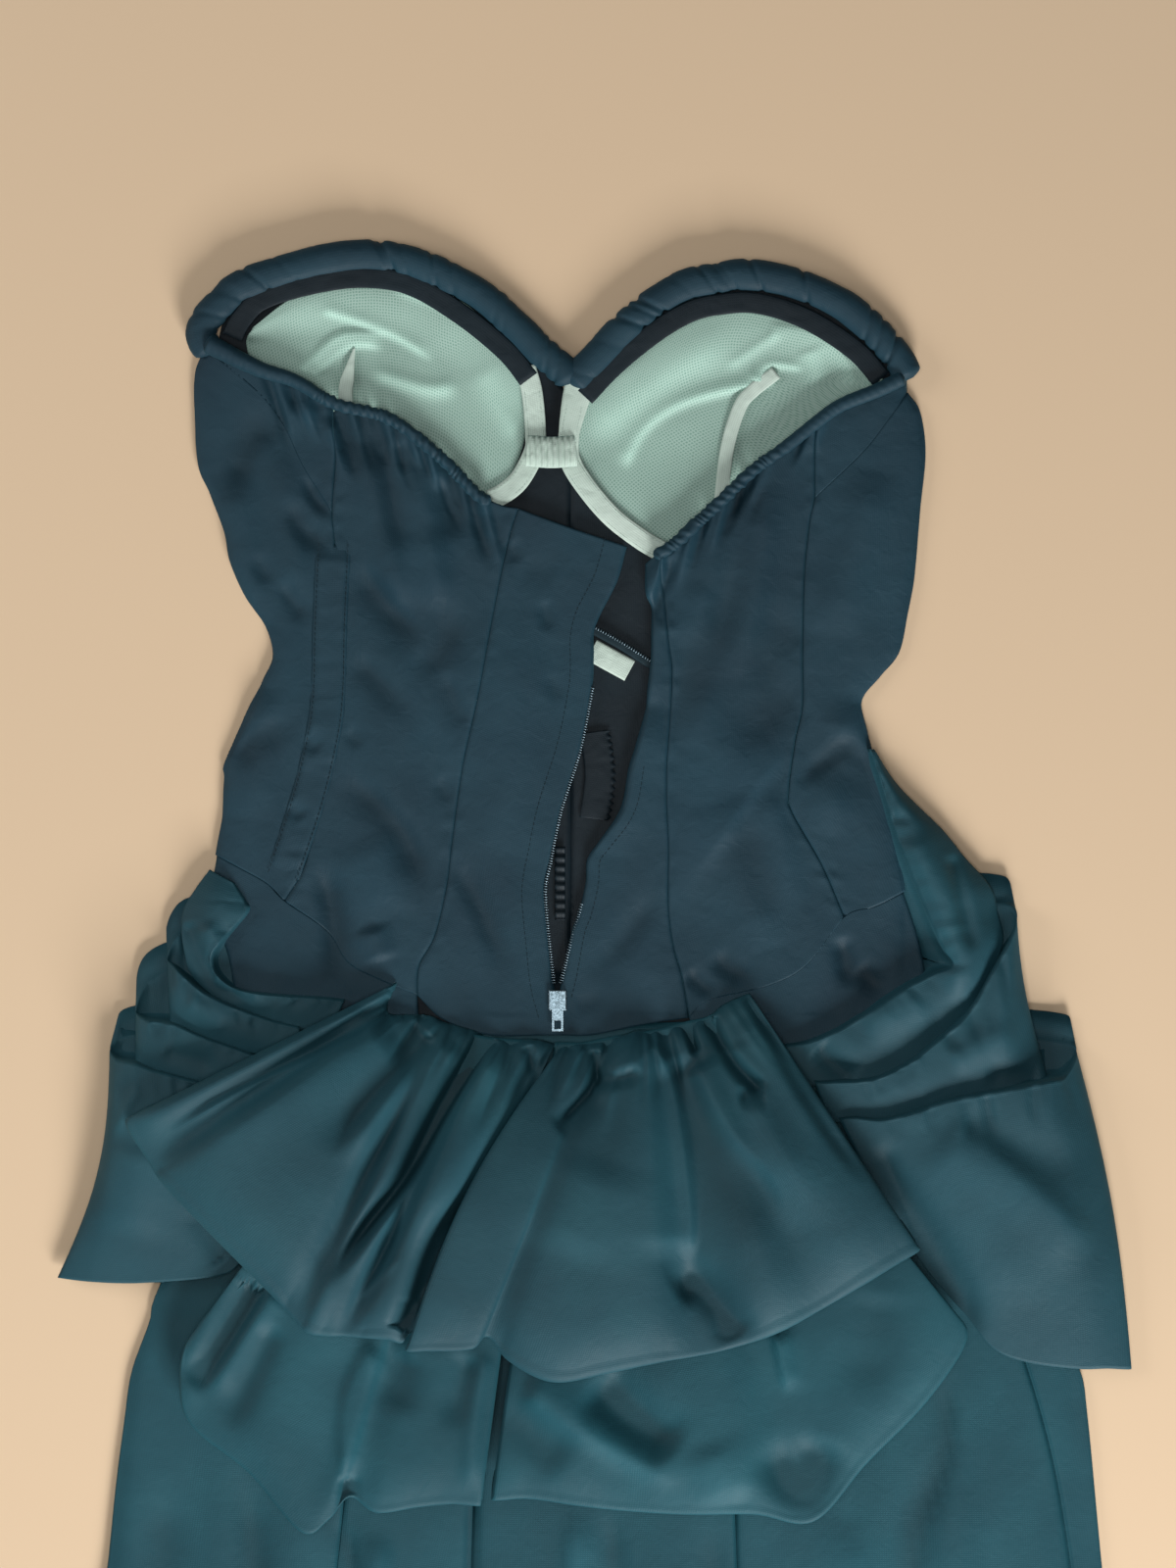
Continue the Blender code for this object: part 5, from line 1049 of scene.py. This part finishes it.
# cups and what is sewn inside them
cups = {
    "left": (([(-192, 602), (-196, 592), (-190, 570)]),
             [(-39, 583), (-36, 565), (-36, 540), (-44, 518), (-60, 494)],
             [(-192, 602), (-168, 620), (-139, 630), (-111, 630), (-86, 622), (-66, 612), (-39, 583)],
             [(-190, 570), (-150, 552), (-118, 540), (-85, 515), (-60, 494)]),
    "right": ([(0, 569), (-6, 556), (-9, 539), (2, 509), (28, 483), (52, 464)],
              [(170, 571), (168, 562), (165, 552)],
              [(0, 569), (16, 584), (44, 599), (69, 611), (91, 615), (119, 609), (142, 601), (170, 571)],
              [(52, 464), (75, 490), (100, 512), (130, 535), (165, 552)]),
}
for side, (west, east, north, south) in cups.items():
    v, u = np.linspace(0, 1, 61), np.linspace(0, 1, 91)
    flat = patch(smoothPath(west, v), smoothPath(east, v), smoothPath(north, u), smoothPath(south, u), v, u)
    x, y = flat[..., 0], flat[..., 1]
    fall = np.clip((v[:, None] - 0.1) / 0.3, 0, 1)
    lift = creaseLift(x, y, cupCreases[side])
    calm = np.clip((1 - v[:, None]) / 0.28, 0, 1)
    z = 2.3 + 4.2 * (1 - fall * fall * (3 - 2 * fall)) + (lift + 0.5 + 0.5 * softNoise(x, y, 22, 61)) * calm
    # south of the casing the net sinks until it clears the inside of the bodice over it
    casing = casingLeftLine if side == "left" else casingRightLine
    casing = casing[np.argsort(casing[:, 0])]
    covered = np.clip((np.interp(x, casing[:, 0], casing[:, 1]) + 3 - y) / 5, 0, 1)
    room = np.maximum(bodiceTop(x, y) - 1.1, 1.8)
    z = z - covered * np.maximum(z - room, 0)
    piece = clothSheet(f"net_cup_{side}_cloth", np.dstack([flat, z]), nylonNet, [f"net_cup_{side}"], 0.4,
                       mark=np.clip(0.22 * lift, -0.1, 0.5))
    declareSheet(piece, f"net_cup_{side}", [f"front_{side}_cloth"])

bands = {    # path, width, height of the upper face, material
    "facing_left": ([(-204, 596), (-199, 606), (-188, 617), (-165, 625), (-137, 630), (-113, 629),
                     (-95, 623), (-74, 610),
                     (-57, 597), (-44, 585), (-34, 572)], 12, 8.8, liningTaffeta),
    "facing_right": ([(-2, 562), (12, 577), (28, 591), (46, 604), (62, 612), (77, 615), (92, 616),
                      (108, 613), (124, 607),
                      (140, 598), (156, 586), (168, 572)], 12, 8.8, liningTaffeta),
    "wire_channel_left": ([(-36, 579, 8.5), (-32, 564, 8.2), (-30, 540, 6.5), (-31, 530, 5.8),
                           (-39, 515, 5.2),
                           (-48, 507, 5), (-56, 503, 4.8)], 12, None, cottonTape),
    "wire_channel_right": ([(-4, 571, 8.5), (-8, 556, 8.5), (-11, 539, 7.8), (-10, 525, 6.4), (0, 509, 5.4),
                            (14, 493, 5), (31, 480, 4.8), (43, 473, 4.6)], 12, None, cottonTape),
    "boning_tape_left": ([(-134, 590), (-137, 577), (-139, 566), (-139, 559)], 8, 5.0, cottonTape),
    "boning_tape_right": ([(108, 576), (94, 565), (87, 556), (80, 533), (76, 500)], 8, 5.0, cottonTape),
    "centre_bridge": ([(-35, 531), (-21, 530), (-7, 531)], 18, 11.0, cottonTape),
    "inner_zip": ([(2, 429), (20, 419), (37, 408)], 5, 4.3, zipTape),
    "elastic_tab": ([(2, 417), (24, 405)], 13, 2.8, cottonTape),
    "seam_flap": ([(3, 370), (6, 345), (3, 320)], 16, 2.6, liningTaffeta),
    "ruched_strip": ([(-16, 304), (-16, 262)], 6, 3.0, liningTaffeta),
}
tapers = {"boning_tape_left": (0.15, 0.6), "wire_channel_right": (1.5, 0.25)}
for node, (path, width, height, material) in bands.items():
    if height is not None:
        path = [(x, y, height) for x, y in path]
    grid = ribbonGrid(path, width, None, 0.5, 60, 13)
    if node in tapers:     # width at the start as a share of the full width, and where it is full
        start, full = tapers[node]
        share = start + (1 - start) * np.clip(np.linspace(0, 1, 61) / full, 0, 1)
        middle = grid[:, 6:7, :2].copy()
        grid[..., :2] = middle + (grid[..., :2] - middle) * share[:, None, None]
    grid[..., 2] += 0.22 * softNoise(grid[..., 0], grid[..., 1], 4, 71)
    if node == "seam_flap":      # pinked edge: 4 mm zigzag on the side that faces the opening
        zigzag = np.abs((np.linspace(0, 12.5, 61) % 1) - 0.5) * 5
        grid[:, 0, 0] += zigzag
    if node == "ruched_strip":
        grid[..., 2] += 0.7 * np.sin(np.linspace(0, 50, 61))[:, None]
    if node == "centre_bridge":   # worn pile with upright ridges
        grid[..., 2] += 0.7 * np.sin(grid[..., 0] * 1.9) + 0.4 * softNoise(grid[..., 0], grid[..., 1],
                1.6, 72)
        grid[..., 2] -= 2.2 * np.abs(np.linspace(-1, 1, 13))[None] ** 4
    piece = clothSheet(node + "_cloth", grid, material, [node], 0.5)
    declareSheet(piece, node, ["front_left_cloth"])
print("inside made")

# padded roll of the top edge, and the elastic casings
rolls = {"top_roll_left": ("rollLeft", 11), "top_roll_right": ("rollRight", 12)}
for node, (path, seed) in rolls.items():
    spots = np.linspace(0, 1, 221)
    angle = np.linspace(0, 2 * math.pi, 28, endpoint=False)
    along = (spots * 260)[:, None]
    pinch = np.random.default_rng(seed).uniform(0.03, 0.97, 22)
    depth = np.random.default_rng(seed + 1).uniform(0.2, 1.3, 22)
    slant = along + 5 * np.cos(angle)[None]
    radius = 9.0 + 0.35 * softNoise(slant, 9 * np.sin(angle)[None] + 0 * slant, 12, seed)
    for share, deep in zip(pinch, depth):
        radius = radius - deep * np.exp(-((slant - share * 260) / 1.5) ** 2)
    ends = np.clip(np.minimum(spots, 1 - spots) / 0.02, 0, 1)
    radius = radius * np.sqrt(np.maximum(ends * (2 - ends), 0.12))[:, None]
    grid, _ = tubeGrid(cut[path], spots, 28, radius, 6.7, 0.7)
    piece = closedTube(node + "_cloth", grid, bodiceTaffeta, [node])
# path, seed, where the gathers start, radius at the side and at the opening
casings = {"elastic_casing_left": ("casingLeft", 15, 0.3, 5.8, 3.4),
           "elastic_casing_right": ("casingRight", 16, 0.4, 4.4, 3.5)}
for node, (path, seed, gathersFrom, wide, narrow) in casings.items():
    spots = np.linspace(0, 1, 321)
    angle = np.linspace(0, 2 * math.pi, 18, endpoint=False)
    total = np.linalg.norm(np.diff(smoothPath(cut[path], 60), axis=0), axis=1).sum()
    along = (spots * total)[:, None]
    warped = along + 3.4 * softNoise(along, 0 * along, 7, seed) + 1.6 * np.cos(angle)[None]
    tight = np.clip((spots[:, None] - gathersFrom) / 0.12, 0.18, 1)
    plain = narrow + (wide - narrow) * (1 - np.clip(spots[:, None] / (gathersFrom + 0.15), 0, 1)) ** 1.4
    radius = plain + tight * (0.34 * np.sin(warped * 2 * math.pi / 4.6)
                              + 0.42 * softNoise(warped, 5 * angle[None] + 0 * warped, 3.1, seed + 1))
    ends = np.clip(np.minimum(spots, 1 - spots) / 0.012, 0, 1)
    radius = radius * np.sqrt(np.maximum(ends * (2 - ends), 0.12))[:, None]
    grid, _ = tubeGrid(cut[path], spots, 18, radius, 10.6)
    piece = closedTube(node + "_cloth", grid, bodiceTaffeta, [node])
print("top edge made")

# zip: tapes, teeth, slider and pull tab
zipLeft = [(0, 395), (-7, 360), (-18, 325), (-24, 296), (-27, 278), (-24, 243), (-22, 226)]
zipRight = [(-1, 271), (-4, 260), (-8, 246), (-13, 226)]
for side, path, shift, width in (("left", zipLeft, -1.5, 6), ("right", zipRight, 1.5, 5)):
    grid = ribbonGrid([(x + shift, y, 4.6) for x, y in path], width, None, 0.1, 70, 7)
    tape = clothSheet(f"zip_tape_{side}_cloth", grid, zipTape, [f"zip_tape_{side}"], 0.5)
    declareSheet(tape, f"zip_tape_{side}", [])
    row = [(x - shift / 1.5 * 2.6, y) for x, y in path]
    length = np.linalg.norm(np.diff(smoothPath(row, 60), axis=0), axis=1).sum()
    line = smoothPath(row, int(length / 1.5))     # 1.5 mm tooth pitch
    run = np.gradient(line, axis=0)
    tooth, faces = pill(2.2, 0.95, 1.3)
    tooth = tooth[:, [1, 0, 2]] * np.array([1, -1, 1])
    teeth = manyCopies(f"zip_teeth_{side}_metal", tooth, faces,
                       np.column_stack([line, np.full(len(line), 5.7)]),
                       run, zipNickel)
    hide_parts(f"zip_teeth_{side}")
innerTooth = smoothPath([(2, 431), (20, 421), (37, 410)], 26)
tooth, faces = pill(2.0, 0.8, 1.1)
manyCopies("inner_zip_metal", tooth[:, [1, 0, 2]] * np.array([1, -1, 1]), faces,
           np.column_stack([innerTooth, np.full(27, 5.0)]), np.gradient(innerTooth, axis=0), zipNickel)
for node in ("zip_slider", "pull_tab"):
    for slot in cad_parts[node].material_slots:
        slot.material = zipNickel
print("zip made")

# stitching
stitchRow("stitch_channel_inner", offsetPath(channelPath, 8.4), lambda x, y: channelTop(x, y) + 0.75)
stitchRow("stitch_channel_outer", offsetPath(channelPath, -8.4), lambda x, y: channelTop(x, y) + 0.75)
stitchRow("stitch_placket_left", offsetPath(cut["openingLeft"][:-1], -11), bodiceTop)
stitchRow("stitch_placket_right", offsetPath(cut["openingRight"][7:-1], 5), bodiceTop)
for side, shift in (("left", 4.2), ("left", -4.2), ("right", 4.2), ("right", -4.2)):
    path = [(x, y) for x, y, z in bands["wire_channel_" + side][0]][1:]
    heights = smoothPath(bands["wire_channel_" + side][0][1:], 60)[:, 1:]
    stitchRow(f"stitch_wire_{side}_{'outer' if shift > 0 else 'inner'}", offsetPath(path, shift),
              lambda x, y: np.interp(y, heights[::-1, 0], heights[::-1, 1]) + 0.35, 2.2, paleThread)
print("stitching made")
declareAll()
